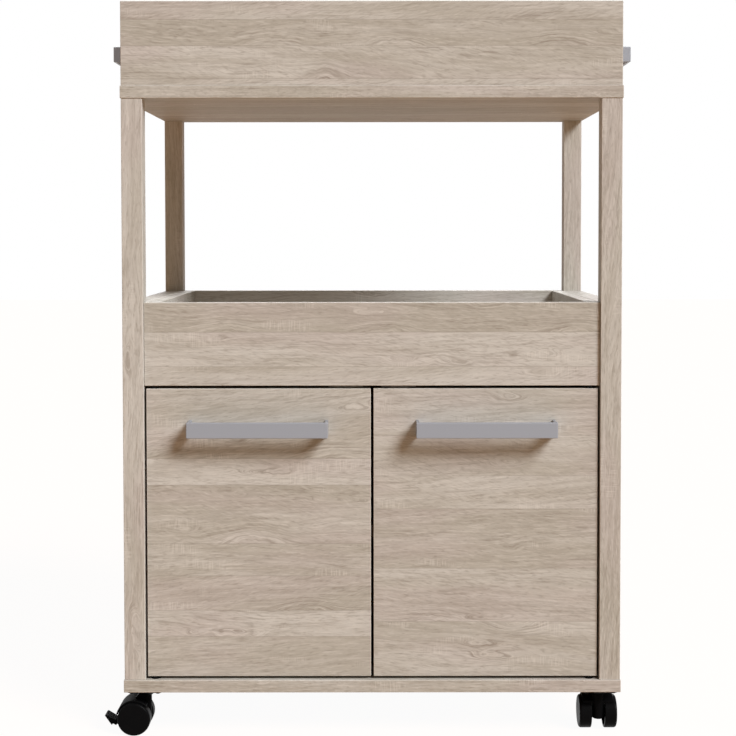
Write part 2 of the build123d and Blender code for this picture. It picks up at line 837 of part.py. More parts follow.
# Cam discs and cam bolts
cam_joints = []
for group in (floor_cams, box_corner_cams, tray_corner_cams):
    for joints in group.values():
        cam_joints += joints
cam_planes = [cam_plane(joint) for joint in cam_joints]
cam_bolt_planes = [bolt_plane(joint) for joint in cam_joints]
with BuildPart() as cam_discs:
    with Locations(*cam_planes):
        Cylinder(cam_radius, cam_height, align=(Align.CENTER, Align.CENTER, Align.MAX))
    with Locations(*cam_bolt_planes):
        Cylinder(
            cam_channel_radius,
            cam_setback + cam_channel_radius,
            align=(Align.CENTER, Align.CENTER, Align.MIN),
            mode=Mode.SUBTRACT,
        )
    with BuildSketch(*cam_planes):
        Rectangle(cam_cross_length, cam_cross_width)
        Rectangle(cam_cross_width, cam_cross_length)
    extrude(amount=-cam_cross_depth, mode=Mode.SUBTRACT)
hand_over(cam_discs, "cam_discs")

with BuildPart() as cam_bolts:
    with Locations(*cam_bolt_planes):
        Cylinder(
            cam_bolt_thread_radius,
            cam_bolt_thread_length,
            align=(Align.CENTER, Align.CENTER, Align.MAX),
        )
        Cylinder(
            cam_bolt_shank_radius,
            cam_setback,
            align=(Align.CENTER, Align.CENTER, Align.MIN),
        )
hand_over(cam_bolts, "cam_bolts")

# Long screws
long_screw_planes = tray_screw_planes + base_screw_planes
with BuildPart() as long_screws:
    with Locations(*long_screw_planes):
        Cylinder(long_screw_radius, long_screw_length, align=(Align.CENTER, Align.CENTER, Align.MAX))
        Cone(
            long_screw_radius,
            long_screw_head_radius,
            long_screw_head_height,
            align=(Align.CENTER, Align.CENTER, Align.MAX),
        )
    with BuildSketch(*long_screw_planes):
        RegularPolygon(long_screw_socket_radius, 6)
    extrude(amount=-long_screw_socket_depth, mode=Mode.SUBTRACT)
hand_over(long_screws, "long_screws")

# Castor plates, each with its bearing race and riveted kingpin
swivels = [castor.swivel for castor in castors.values()]
plate_bottom = castor_height - castor_plate_thickness
race_bottom = plate_bottom - race_height
swivel_locations = [(swivel.X, swivel.Y) for swivel in swivels]
with BuildPart() as castor_plates:
    with BuildSketch(Plane.XY.offset(plate_bottom)):
        with Locations(*swivel_locations):
            RectangleRounded(castor_plate_size, castor_plate_size, castor_plate_corner)
    extrude(amount=castor_plate_thickness)
    with BuildSketch(Plane.XY.offset(plate_bottom)):
        with Locations(*swivel_locations):
            Circle(race_radius)
    extrude(amount=-race_height)
    race_edges = castor_plates.edges().filter_by(GeomType.CIRCLE).group_by(Axis.Z)[0]
    chamfer(race_edges, race_chamfer)
    with BuildSketch(Plane.XY.offset(race_bottom)):
        with Locations(*swivel_locations):
            Circle(kingpin_radius)
    extrude(amount=kingpin_end_height - race_bottom)
    bore_blind(castor_pilot_planes, castor_hole_radius, castor_plate_thickness)
hand_over(castor_plates, "castor_plates")

with BuildPart() as castor_screws:
    pan_screws(
        planes([point + UP * plate_bottom for point in castor_screw_points], DOWN),
        castor_screw_radius,
        castor_screw_length,
        castor_screw_head_radius,
        castor_screw_head_height,
    )
hand_over(castor_screws, "castor_screws")


def wheel(name, axle_centre, out):
    """One wheel of a twin pair: closed outer face, hub and rim open towards the middle."""
    plane = Plane(origin=axle_centre, x_dir=out, z_dir=out.cross(UP))
    bore_end = axle_in_wheel + wheel_inner_face + axle_end_play
    bore = axle_radius + axle_play
    hollow_end = wheel_inner_face + wheel_hollow_depth
    with BuildPart() as castor_wheel:
        with BuildSketch(plane) as section:
            with BuildLine():
                Polyline(
                    (bore_end, 0),
                    (wheel_outer_face, 0),
                    (wheel_outer_face, wheel_radius),
                    (wheel_inner_face, wheel_radius),
                    (wheel_inner_face, wheel_rim_inner_radius),
                    (hollow_end, wheel_rim_inner_radius),
                    (hollow_end, wheel_hub_radius),
                    (wheel_inner_face, wheel_hub_radius),
                    (wheel_inner_face, bore),
                    (bore_end, bore),
                    close=True,
                )
            make_face()
            tread_corners = section.vertices().group_by(Axis.Y)[-1].sort_by(Axis.X)
            fillet(tread_corners[0], wheel_inner_round)
            fillet(section.vertices().group_by(Axis.Y)[-1].sort_by(Axis.X)[-1], wheel_outer_round)
        revolve(axis=Axis(axle_centre, out))
    hand_over(castor_wheel, name)


# Castor bodies, axles, wheels and brake pedals
hood_radius = wheel_radius + hood_play + hood_wall
cavity_radius = wheel_radius + hood_play
for place_name, castor in castors.items():
    lead = castor.lead
    axle_centre = castor.swivel - lead * castor_trail + UP * wheel_radius
    side_plane = Plane(origin=axle_centre, x_dir=lead, z_dir=lead.cross(UP))
    across = side_plane.z_dir
    boss_top = race_bottom - swivel_gap
    trail_edge_x = -((hood_radius**2 - hood_trail_edge**2) ** 0.5)
    outside = 2 * hood_radius
    neck_up = boss_top - wheel_radius
    with BuildPart() as castor_body:
        with BuildSketch(side_plane):
            Circle(hood_radius)
            with BuildLine():
                Polyline(
                    (-outside, -outside),
                    (outside, -outside),
                    (outside, outside),
                    (hood_lead, outside),
                    (hood_lead, hood_lead_edge),
                    (trail_edge_x, hood_trail_edge),
                    (-outside, hood_trail_edge),
                    close=True,
                )
            make_face(mode=Mode.SUBTRACT)
        extrude(amount=hood_half_width, both=True)
        side_faces = castor_body.faces().filter_by(Axis((0, 0, 0), across))
        fillet(side_faces.edges(), hood_round)
        with Locations(
            side_plane.offset(web_half_width),
            Plane(origin=axle_centre - across * web_half_width, z_dir=across * -1),
        ):
            Cylinder(
                cavity_radius,
                hood_half_width,
                align=(Align.CENTER, Align.CENTER, Align.MIN),
                mode=Mode.SUBTRACT,
            )
        with BuildSketch(side_plane):
            Circle(web_boss_radius)
            with Locations((castor_trail, column_bottom - wheel_radius)):
                Rectangle(
                    column_radius,
                    hood_lead_edge + wheel_radius - column_bottom,
                    align=(Align.MAX, Align.MIN),
                )
            make_hull()
        extrude(amount=web_half_width, both=True)
        with BuildSketch(side_plane):
            with BuildLine():
                Polyline(
                    (0, hood_lead_edge),
                    (castor_trail, hood_lead_edge),
                    (castor_trail, neck_up),
                    (castor_trail - column_radius, neck_up),
                    (0, hood_radius),
                    close=True,
                )
            make_face()
        extrude(amount=web_half_width, both=True)
        with Locations(Plane(origin=castor.swivel + UP * column_bottom)):
            Cylinder(
                column_radius,
                boss_top - column_bottom,
                align=(Align.CENTER, Align.CENTER, Align.MIN),
            )
        with Locations(Plane(origin=castor.swivel + UP * boss_top)):
            Cone(
                column_radius,
                swivel_boss_radius,
                swivel_boss_height,
                align=(Align.CENTER, Align.CENTER, Align.MAX),
            )
        bore_blind(
            planes([castor.swivel + UP * boss_top], UP),
            kingpin_radius + kingpin_play,
            boss_top - kingpin_end_height + axle_end_play,
        )
        with Locations(side_plane):
            Cylinder(axle_radius, 2 * web_half_width, mode=Mode.SUBTRACT)
        if castor.brake:
            pedal_pivot = Plane(
                origin=side_plane.from_local_coords((-pedal_pivot_back, pedal_pivot_up, 0)), z_dir=across
            )
            with BuildSketch(side_plane):
                with Locations((-hood_radius, 0)):
                    Rectangle(
                        hood_radius - web_boss_radius,
                        pedal_pivot_up + pedal_boss_radius + axle_end_play,
                        align=(Align.MIN, Align.MIN),
                    )
            extrude(amount=pedal_slot_half_width, both=True, mode=Mode.SUBTRACT)
            with Locations(pedal_pivot):
                Cylinder(pedal_pin_radius + pedal_pin_play, 2 * web_half_width, mode=Mode.SUBTRACT)
    hand_over(castor_body, f"castor_body_{place_name}")

    with BuildPart() as castor_axle:
        with Locations(side_plane):
            Cylinder(axle_radius, 2 * (wheel_inner_face + axle_in_wheel))
    hand_over(castor_axle, f"castor_axle_{place_name}")

    wheel(f"castor_wheel_a_{place_name}", axle_centre, across)
    wheel(f"castor_wheel_b_{place_name}", axle_centre, across * -1)

    if castor.brake:
        rim_x = -wheel_radius
        shoe_x = rim_x - pedal_shoe_back
        with BuildPart() as brake_pedal:
            with BuildSketch(side_plane) as paddle:
                with BuildLine():
                    Polyline(
                        (shoe_x, -pedal_shoe_top_down),
                        (rim_x - pedal_crest_back, pedal_crest_up),
                        (rim_x - pedal_tip_back, pedal_tip_up),
                        (rim_x - pedal_heel_back, -pedal_heel_down),
                        (rim_x - pedal_notch_back, -pedal_notch_down),
                        (shoe_x, -pedal_shoe_down),
                        close=True,
                    )
                make_face()
                tip_corners = paddle.vertices().sort_by(Axis.X)[:3]
                fillet(tip_corners, pedal_round)
            extrude(amount=pedal_half_width, both=True)
            with BuildSketch(side_plane):
                with Locations((-pedal_pivot_back, pedal_pivot_up)):
                    Circle(pedal_boss_radius)
                with Locations((rim_x, -pedal_foot_down)):
                    Circle(pedal_foot_radius)
                with Locations((shoe_x, -pedal_foot_down)):
                    Circle(pedal_arm_round)
                with Locations((shoe_x, -pedal_shoe_top_down - pedal_arm_round)):
                    Circle(pedal_arm_round)
                make_hull()
            extrude(amount=pedal_arm_half_width, both=True)
            with Locations(pedal_pivot):
                Cylinder(pedal_pin_radius, 2 * web_half_width)
        hand_over(brake_pedal, f"brake_pedal_{place_name}")
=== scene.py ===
"""Looks of a rolling bar cabinet: oak-print boards, grey bar handles and black twin-wheel castors."""

import json
import logging
import math
import random
from dataclasses import dataclass, field
from enum import Enum

import bmesh
import bpy
from mathutils import Matrix, Vector

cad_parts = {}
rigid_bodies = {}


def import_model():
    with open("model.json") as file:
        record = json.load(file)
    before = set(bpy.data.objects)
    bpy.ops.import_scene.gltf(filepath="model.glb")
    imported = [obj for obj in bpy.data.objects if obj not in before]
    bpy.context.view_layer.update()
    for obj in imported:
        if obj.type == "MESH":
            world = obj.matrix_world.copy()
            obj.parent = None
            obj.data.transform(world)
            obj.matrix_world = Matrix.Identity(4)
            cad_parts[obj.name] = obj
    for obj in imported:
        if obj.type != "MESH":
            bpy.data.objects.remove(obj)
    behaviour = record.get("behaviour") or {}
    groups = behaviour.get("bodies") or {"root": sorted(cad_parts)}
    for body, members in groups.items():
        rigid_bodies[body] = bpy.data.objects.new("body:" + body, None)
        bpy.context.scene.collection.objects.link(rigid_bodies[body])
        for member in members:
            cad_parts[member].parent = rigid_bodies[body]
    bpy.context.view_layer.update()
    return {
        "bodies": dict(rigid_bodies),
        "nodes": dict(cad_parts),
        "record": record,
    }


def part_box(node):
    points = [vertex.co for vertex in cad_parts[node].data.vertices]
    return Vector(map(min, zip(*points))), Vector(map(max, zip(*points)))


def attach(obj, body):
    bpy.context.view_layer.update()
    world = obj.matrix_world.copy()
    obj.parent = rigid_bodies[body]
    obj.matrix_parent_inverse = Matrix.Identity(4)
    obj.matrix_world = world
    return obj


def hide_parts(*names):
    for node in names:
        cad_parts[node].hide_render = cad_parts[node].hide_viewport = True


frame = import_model()

LOG = logging.getLogger("bar_cabinet")
MM = 0.001
WHITE = "#FFFFFF"

# The kinds of node that come up most. A spread takes a value, the span that it comes from and the
# span that it goes to. A colour mix takes its share at 0 and its colours at 6 and 7.
MATH, VECTOR_MATH = "ShaderNodeMath", "ShaderNodeVectorMath"
SPLIT, JOIN = "ShaderNodeSeparateXYZ", "ShaderNodeCombineXYZ"
NOISE, SPREAD, MIX = "ShaderNodeTexNoise", "ShaderNodeMapRange", "ShaderNodeMix"
BUMP, SHADER, OUTPUT = "ShaderNodeBump", "ShaderNodeBsdfPrincipled", "ShaderNodeOutputMaterial"
SMOOTH = {"interpolation_type": "SMOOTHSTEP"}

Material = bpy.types.Material
Tree = bpy.types.NodeTree
Node = bpy.types.Node
Socket = bpy.types.NodeSocket
Value = Node | Socket | float | tuple[float, ...]
Pair = tuple[float, float]
Triple = tuple[float, float, float]


def linear(hex_colour: str) -> tuple[float, float, float, float]:
    """Turns an sRGB hex colour into a linear one with full alpha.

    Args:
        hex_colour: Six hex digits after a hash sign.

    Returns:
        Red, green, blue and alpha, each from 0 to 1.
    """
    channels = [int(hex_colour[i : i + 2], 16) / 255 for i in (1, 3, 5)]
    red, green, blue = (c / 12.92 if c <= 0.04045 else ((c + 0.055) / 1.055) ** 2.4 for c in channels)
    return red, green, blue, 1.0


def add_node(
    tree: Tree, kind: str, inputs: tuple[Value, ...] | dict[str | int, Value] = (), **settings: object
) -> Node:
    """Adds a node with its settings, and sets or links its inputs.

    Args:
        tree: The tree that gets the node.
        kind: The node's type.
        inputs: What each input gets, in their order, or by its name or place: a value, a socket, or
            a node, which stands for the first of its outputs in use.
        **settings: The node's own properties.

    Returns:
        The new node.
    """
    node = tree.nodes.new(kind)
    for name, setting in settings.items():
        setattr(node, name, setting)
    for key, value in inputs.items() if isinstance(inputs, dict) else enumerate(inputs):
        if isinstance(value, Node):
            value = next(output for output in value.outputs if output.enabled)
        if isinstance(value, Socket):
            tree.links.new(value, node.inputs[key])
        else:
            node.inputs[key].default_value = value
    return node


def new_material(name: str) -> tuple[Material, Tree]:
    """Makes an empty node material.

    Args:
        name: The material's name.

    Returns:
        The material and its cleared node tree.
    """
    material = bpy.data.materials.new(name)
    material.use_nodes = True
    material.node_tree.nodes.clear()
    return material, material.node_tree


def place_mm(tree: Tree) -> Node:
    """Gives the place on the piece, in millimetres of the row frame."""
    place = add_node(tree, "ShaderNodeTexCoord").outputs["Object"]
    return add_node(tree, VECTOR_MATH, {0: place, "Scale": 1 / MM}, operation="SCALE")


def patches(
    tree: Tree, place: Value, size_mm: tuple[float, ...], detail: float = 1.0, roughness: float = 0.5
) -> Node:
    """Draws noise whose patches have a real size.

    Args:
        tree: The material's tree.
        place: The place in millimetres.
        size_mm: The size of a patch along each axis; the last one given holds for the axes left.
        detail: How many finer layers lie on it.
        roughness: How strong the finer layers are.

    Returns:
        The noise, from 0 to 1.
    """
    scale = tuple(1 / size for size in (*size_mm, size_mm[-1], size_mm[-1])[:3])
    squeezed = add_node(tree, VECTOR_MATH, (place, scale), operation="MULTIPLY")
    inputs = {"Vector": squeezed, "Scale": 1.0, "Detail": detail, "Roughness": roughness}
    return add_node(tree, NOISE, inputs)


def dress(node_name: str, material: Material) -> None:
    """Gives a CAD node one material.

    Args:
        node_name: The CAD node's name.
        material: Its new material.
    """
    piece = frame["nodes"][node_name]
    piece.data.materials.clear()
    piece.data.materials.append(material)
    LOG.info("dressed %s in %s", node_name, material.name)


class Axis(Enum):
    """An axis of the row frame, as its place in a vector."""

    X = 0
    Y = 1
    Z = 2


@dataclass(frozen=True)
class Figure:
    """A flame in the print, where the growth lines of one strip arch against its joint.

    Attributes:
        along_mm: Its middle along the grain, from the board's centre.
        across_mm: The place of the joint that cuts it off, across the grain.
        side: Whether it lies above the joint (1) or below it (-1).
        reach_mm: How far it reaches along and across.
        push_mm: How far it pushes the lines.
    """

    along_mm: float
    across_mm: float
    side: int = 1
    reach_mm: Pair = (56.0, 26.0)
    push_mm: float = 17.0


@dataclass(frozen=True)
class OakMelamine:
    """Particle board faced with melamine paper that carries a pale sawn-oak print.

    The paper shows strips of light oak glued side by side, each with its own tone and slant. Fibres and
    growth lines flow together, run into arched flames here and there, and are crossed by patches of pale
    saw marks. The pressed surface is matt, with the pores just felt.

    Attributes:
        grain: The axis that the grain follows on the board's faces.
        slide_mm: How far along the endless print this board was cut.
        joints_mm: Where the strips meet across the board, from its centre.
        figures: The flames that are placed one by one.
        pale: The light wood.
        warm: The browner wood between.
        dark: Growth lines.
        pore: The pores and the joints.
        bright: Saw marks, pale fibres, the band's scraper-paled edges and their painted highlight.
        blush: The pinkish grey that drifts through the print.
        slant: How steeply a strip's grain can cross it.
        wave_mm: Length and width of the long waves in the grain, and how far they push it.
        ripple_mm: The same for the short waves.
        arch_mm: The same for the weak flames that come by chance.
        arch_span: The values of their noise where such a flame starts and where it is full.
        flame_mm: The same for the wavering inside a flame.
        fibre_mm: Length and width of a fibre, drawn twice as coarse as a real one so that it shows.
        fleck_mm: Length and width of the short flecks that lie at a slant to the grain.
        lean: How steep their slant is.
        band_mm: Length and width of a band of one tone.
        tone_share: How much a strip's own tone adds to its bands.
        drift_mm: Length and width of a patch of the pinkish grey.
        lively_mm: Length and width of a patch with strong or weak fibres.
        line_mm: Length and spacing of the growth lines.
        pore_mm: Length and width of a pore, drawn twice as coarse as a real one.
        pore_span: The values of the pores' noise where a pore starts and where it is full.
        patch_mm: Length and width of a patch of saw marks.
        saw_mm: Width and length of a saw mark.
        fine_share: How strong the finer layers of each pattern are.
        eased_mm: Where the pale edge and its painted highlight start and are full, from the board's corner
            line.
        pale_edge_and_highlight: How pale the edge is: partly the scraper's pale line on the band, partly a
            painted highlight.
        end_slope: A face whose normal lies more along the grain than this is the board's end.
        jump_mm: How far apart in the endless print two strips can lie.
        no_joint_mm: The distance to a joint on a board that has none.
        gloss: Roughness of the paper in a pore and beside it.
        relief: Strength and depth in millimetres of the pressed pores.
    """

    grain: Axis
    slide_mm: float = 0.0
    joints_mm: tuple[float, ...] = ()
    figures: tuple[Figure, ...] = ()
    pale: str = "#C9C7C2"
    warm: str = "#B4B0A7"
    dark: str = "#91887E"
    pore: str = "#81786D"
    bright: str = "#DFDCD7"
    blush: str = "#BCB2B0"
    slant: float = 0.07
    wave_mm: Triple = (300.0, 60.0, 34.0)
    ripple_mm: Triple = (70.0, 24.0, 6.0)
    arch_mm: Triple = (120.0, 30.0, 5.0)
    arch_span: Pair = (0.64, 0.78)
    flame_mm: Triple = (13.0, 9.0, 11.0)
    fibre_mm: Pair = (26.0, 1.8)
    fleck_mm: Pair = (11.0, 1.9)
    lean: float = 0.42
    band_mm: Pair = (240.0, 26.0)
    tone_share: float = 0.34
    drift_mm: Pair = (210.0, 60.0)
    lively_mm: Pair = (150.0, 22.0)
    line_mm: Pair = (90.0, 3.6)
    pore_mm: Pair = (9.0, 1.3)
    pore_span: Pair = (0.56, 0.74)
    patch_mm: Pair = (84.0, 24.0)
    saw_mm: Pair = (1.2, 17.0)
    fine_share: float = 0.55
    eased_mm: Pair = (-1.2, -0.5)
    pale_edge_and_highlight: float = 0.3
    end_slope: float = 0.8
    jump_mm: Triple = (900.0, 300.0, 300.0)
    no_joint_mm: float = 1000.0
    gloss: Pair = (0.7, 0.58)
    relief: Pair = (0.3, 0.1)

    def material(self, name: str, low: Vector, high: Vector) -> Material:
        """Builds the material for one board.

        Args:
            name: The material's name.
            low: The board's lowest corner, in metres.
            high: The board's highest corner, in metres.

        Returns:
            The new material.
        """
        material, tree = new_material(name)
        centre, size = (low + high) / 2 / MM, (high - low) / MM
        others = sorted((a for a in Axis if a is not self.grain), key=lambda a: -size[a.value])
        order = [self.grain.value, others[0].value, others[1].value]
        offset = add_node(tree, VECTOR_MATH, (place_mm(tree), tuple(centre)), operation="SUBTRACT")
        place = self._place(tree, offset, order)
        wood, chance, nearest = self._strips(tree, place)
        flow, flame = self._flow(tree, place, wood, chance)
        pores = self._noise(tree, flow, self.pore_mm)
        colour = self._colour(tree, wood, chance, nearest, flow, flame, pores)
        # Paler eased edges: partly the band's own pale line from the scraper, partly a painted highlight
        # where the edges catch the light.
        edge = self._pale_edges_and_highlight(tree, offset, size / 2)
        edged_with_highlight = add_node(tree, MIX, {0: edge, 6: colour, 7: linear(self.bright)}, data_type="RGBA")
        height = add_node(tree, SPREAD, (pores, *self.pore_span, 1.0, 0.0), **SMOOTH)
        strength, depth_mm = self.relief
        bump = add_node(tree, BUMP, {"Height": height, "Strength": strength, "Distance": depth_mm * MM})
        inputs = {
            "Base Color": edged_with_highlight,
            "Roughness": add_node(tree, SPREAD, (height, 0.0, 1.0, *self.gloss)),
            "Normal": bump,
            "IOR": 1.5,
            "Specular IOR Level": 0.12,
        }
        add_node(tree, OUTPUT, (add_node(tree, SHADER, inputs),))
        return material

    def _place(self, tree: Tree, offset: Node, order: list[int]) -> Node:
        """Sorts the offset into along, across and through the board.

        On the ends of the board, where an edge band is glued on, the print runs along the band.

        Args:
            tree: The material's tree.
            offset: Millimetres from the board's centre.
            order: The frame axes that lie along, across and through the board.

        Returns:
            The place on the print as a vector.
        """
        normal = add_node(tree, SPLIT, (add_node(tree, "ShaderNodeTexCoord").outputs["Normal"],))
        steep = add_node(tree, MATH, (normal.outputs[order[0]],), operation="ABSOLUTE")
        end = add_node(tree, MATH, (steep, self.end_slope), operation="GREATER_THAN")
        axes = add_node(tree, SPLIT, (offset,)).outputs
        along, across, through = (axes[axis] for axis in order)
        mixed = [
            add_node(tree, MIX, {0: end, 2: first, 3: second}, data_type="FLOAT")
            for first, second in ((along, across), (across, along))
        ]
        return add_node(tree, JOIN, (*mixed, through))

    def _strips(self, tree: Tree, place: Node) -> tuple[Node, Socket, Value]:
        """Splits the print into glued strips, each with its own stretch of wood.

        Args:
            tree: The material's tree.
            place: The place on the print.

        Returns:
            The place in the wood, the strip's random values and how near its joint is.
        """
        across = add_node(tree, SPLIT, (place,)).outputs[1]
        strip: Value = self.slide_mm
        nearest: Value = self.no_joint_mm
        for joint in self.joints_mm:
            passed = add_node(tree, MATH, (across, joint), operation="GREATER_THAN")
            strip = add_node(tree, MATH, (strip, passed), operation="ADD")
            past = add_node(tree, MATH, (across, joint), operation="SUBTRACT")
            away = add_node(tree, MATH, (past,), operation="ABSOLUTE")
            nearest = add_node(tree, MATH, (nearest, away), operation="MINIMUM")
        drawn = add_node(tree, "ShaderNodeTexWhiteNoise", {"W": strip}, noise_dimensions="1D")
        chance = drawn.outputs["Color"]
        wood = add_node(tree, VECTOR_MATH, (chance, self.jump_mm, place), operation="MULTIPLY_ADD")
        return wood, chance, nearest

    def _noise(self, tree: Tree, place: Value, size_mm: Pair, detail: float = 1.0) -> Node:
        """Draws noise that is longer along the grain than across it."""
        return patches(tree, place, size_mm, detail, self.fine_share)

    def _flow(self, tree: Tree, place: Node, wood: Node, chance: Socket) -> tuple[Node, Node]:
        """Bends the grain: fibres and growth lines follow the level lines of one pushed coordinate.

        Args:
            tree: The material's tree.
            place: The place on the print.
            wood: The place in the wood.
            chance: The strip's random values.

        Returns:
            The place with its across part pushed, and how near a flame is.
        """
        axes = add_node(tree, SPLIT, (wood,)).outputs
        along = add_node(tree, SPLIT, (place,)).outputs[0]
        draw = add_node(tree, "ShaderNodeSeparateColor", (chance,)).outputs[2]
        tilt = add_node(tree, MATH, (draw, 2 * self.slant, -self.slant), operation="MULTIPLY_ADD")
        level = add_node(tree, MATH, (along, tilt, axes[1]), operation="MULTIPLY_ADD")
        for length, width, push in (self.wave_mm, self.ripple_mm):
            swell = self._noise(tree, wood, (length, width))
            level = add_node(tree, MATH, (swell, push, level), operation="MULTIPLY_ADD")
        length, width, push = self.arch_mm
        swell = self._noise(tree, wood, (length, width))
        flame = add_node(tree, SPREAD, (swell, *self.arch_span), **SMOOTH)
        level = add_node(tree, MATH, (flame, push, level), operation="MULTIPLY_ADD")
        for figure in self.figures:
            near = self._near(tree, place, figure)
            push = -figure.side * figure.push_mm
            level = add_node(tree, MATH, (near, push, level), operation="MULTIPLY_ADD")
            flame = add_node(tree, MATH, (flame, near), operation="MAXIMUM")
        length, width, push = self.flame_mm
        swell = self._noise(tree, wood, (length, width))
        waver = add_node(tree, MATH, (swell, flame), operation="MULTIPLY")
        level = add_node(tree, MATH, (waver, push, level), operation="MULTIPLY_ADD")
        return add_node(tree, JOIN, (axes[0], level, axes[2])), flame

    def _near(self, tree: Tree, place: Node, figure: Figure) -> Node:
        """Measures how near a flame's middle is, on its own side of the joint.

        Args:
            tree: The material's tree.
            place: The place on the print.
            figure: The flame.

        Returns:
            The nearness, from 0 to 1.
        """
        middle = (figure.along_mm, figure.across_mm, 0.0)
        away = add_node(tree, VECTOR_MATH, (place, middle), operation="SUBTRACT")
        length, width = figure.reach_mm
        shrunk = add_node(tree, VECTOR_MATH, (away, (1 / length, 1 / width, 0.0)), operation="MULTIPLY")
        share = add_node(tree, VECTOR_MATH, (shrunk,), operation="LENGTH")
        past = add_node(tree, SPLIT, (away,)).outputs[1]
        leaning = add_node(tree, MATH, (past, figure.side), operation="MULTIPLY")
        kept = add_node(tree, MATH, (leaning, 0.0), operation="GREATER_THAN")
        near = add_node(tree, SPREAD, (share, 1.0, 0.0), **SMOOTH)
        return add_node(tree, MATH, (near, kept), operation="MULTIPLY")

    def _pale_edges_and_highlight(self, tree: Tree, offset: Node, half_mm: Vector) -> Node:
        """Finds the board's eased edges, where the scraper leaves the band a pale line and a highlight is
        painted on it.

        Args:
            tree: The material's tree.
            offset: Millimetres from the board's centre.
            half_mm: Half of the board's sizes.

        Returns:
            How pale the eased edges are, band colour and painted highlight together, from 0 to 1.
        """
        size = add_node(tree, VECTOR_MATH, (offset,), operation="ABSOLUTE")
        inside = add_node(tree, VECTOR_MATH, (size, tuple(half_mm)), operation="SUBTRACT")
        first, second, third = add_node(tree, SPLIT, (inside,)).outputs
        high = add_node(tree, MATH, (first, second), operation="MAXIMUM")
        low = add_node(tree, MATH, (first, second), operation="MINIMUM")
        lower = add_node(tree, MATH, (high, third), operation="MINIMUM")
        middle = add_node(tree, MATH, (low, lower), operation="MAXIMUM")
        return add_node(tree, SPREAD, (middle, *self.eased_mm, 0.0, self.pale_edge_and_highlight), **SMOOTH)

    def _colour(
        self,
        tree: Tree,
        wood: Node,
        chance: Socket,
        nearest: Value,
        flow: Node,
        flame: Node,
        pores: Node,
    ) -> Node:
        """Lays the bands, growth lines, fibres, pores and saw marks over each other.

        Args:
            tree: The material's tree.
            wood: The place in the wood.
            chance: The strip's random values.
            nearest: Millimetres to the nearest joint.
            flow: The place that follows the grain.
            flame: How near a flame is.
            pores: The pores' noise.

        Returns:
            The print's colour.
        """
        draws = add_node(tree, "ShaderNodeSeparateColor", (chance,)).outputs
        band = self._noise(tree, flow, self.band_mm, 2.0)
        tone = add_node(tree, MATH, (draws[0], self.tone_share, band), operation="MULTIPLY_ADD")
        line = self._noise(tree, flow, self.line_mm)
        fibre = self._noise(tree, flow, self.fibre_mm, 2.0)
        axes = add_node(tree, SPLIT, (wood,)).outputs
        lean = add_node(tree, MATH, (draws[1], 2 * self.lean, -self.lean), operation="MULTIPLY_ADD")
        across = add_node(tree, MATH, (axes[0], lean, axes[1]), operation="MULTIPLY_ADD")
        fleck = self._noise(tree, add_node(tree, JOIN, (axes[0], across, axes[2])), self.fleck_mm)
        drift = self._noise(tree, wood, self.drift_mm)
        sawn = self._noise(tree, wood, self.saw_mm, 0.0)
        # Growth lines are strong in a flame, fibres in some patches, and saw marks lie in patches:
        # each pattern has the span of its values that counts, and the strength at the span's ends.
        strong, lively, patch = (
            add_node(tree, SPREAD, (pattern, *span, *ends), **SMOOTH)
            for pattern, span, ends in (
                (flame, (0.0, 0.5), (0.30, 0.9)),
                (self._noise(tree, wood, self.lively_mm), (0.36, 0.62), (0.35, 1.1)),
                (self._noise(tree, wood, self.patch_mm), (0.60, 0.72), (0.0, 1.0)),
            )
        )
        # Each layer has its pattern, the pattern's values where it starts and where it is full, how
        # much it covers there, its tint, and the strength that it is weakened by.
        layers = (
            (tone, (0.42, 0.86), 1.00, self.warm, None),
            (drift, (0.46, 0.66), 0.40, self.blush, None),
            (line, (0.50, 0.34), 0.34, self.bright, strong),
            (line, (0.50, 0.66), 0.56, self.dark, strong),
            (fibre, (0.52, 0.72), 0.46, self.dark, lively),
            (fibre, (0.48, 0.28), 0.30, self.bright, None),
            (fleck, (0.54, 0.74), 0.30, self.dark, lively),
            (fleck, (0.46, 0.26), 0.20, self.bright, None),
            (pores, self.pore_span, 0.30, self.pore, None),
            (nearest, (0.8, 0.1), 0.28, self.pore, None),
            (sawn, (0.44, 0.70), 0.32, self.bright, patch),
        )
        colour: Value = linear(self.pale)
        for pattern, span, most, tint, weakener in layers:
            share = add_node(tree, SPREAD, (pattern, *span, 0.0, most), **SMOOTH)
            if weakener is not None:
                share = add_node(tree, MATH, (share, weakener), operation="MULTIPLY")
            colour = add_node(tree, MIX, {0: share, 6: colour, 7: linear(tint)}, data_type="RGBA")
        return colour


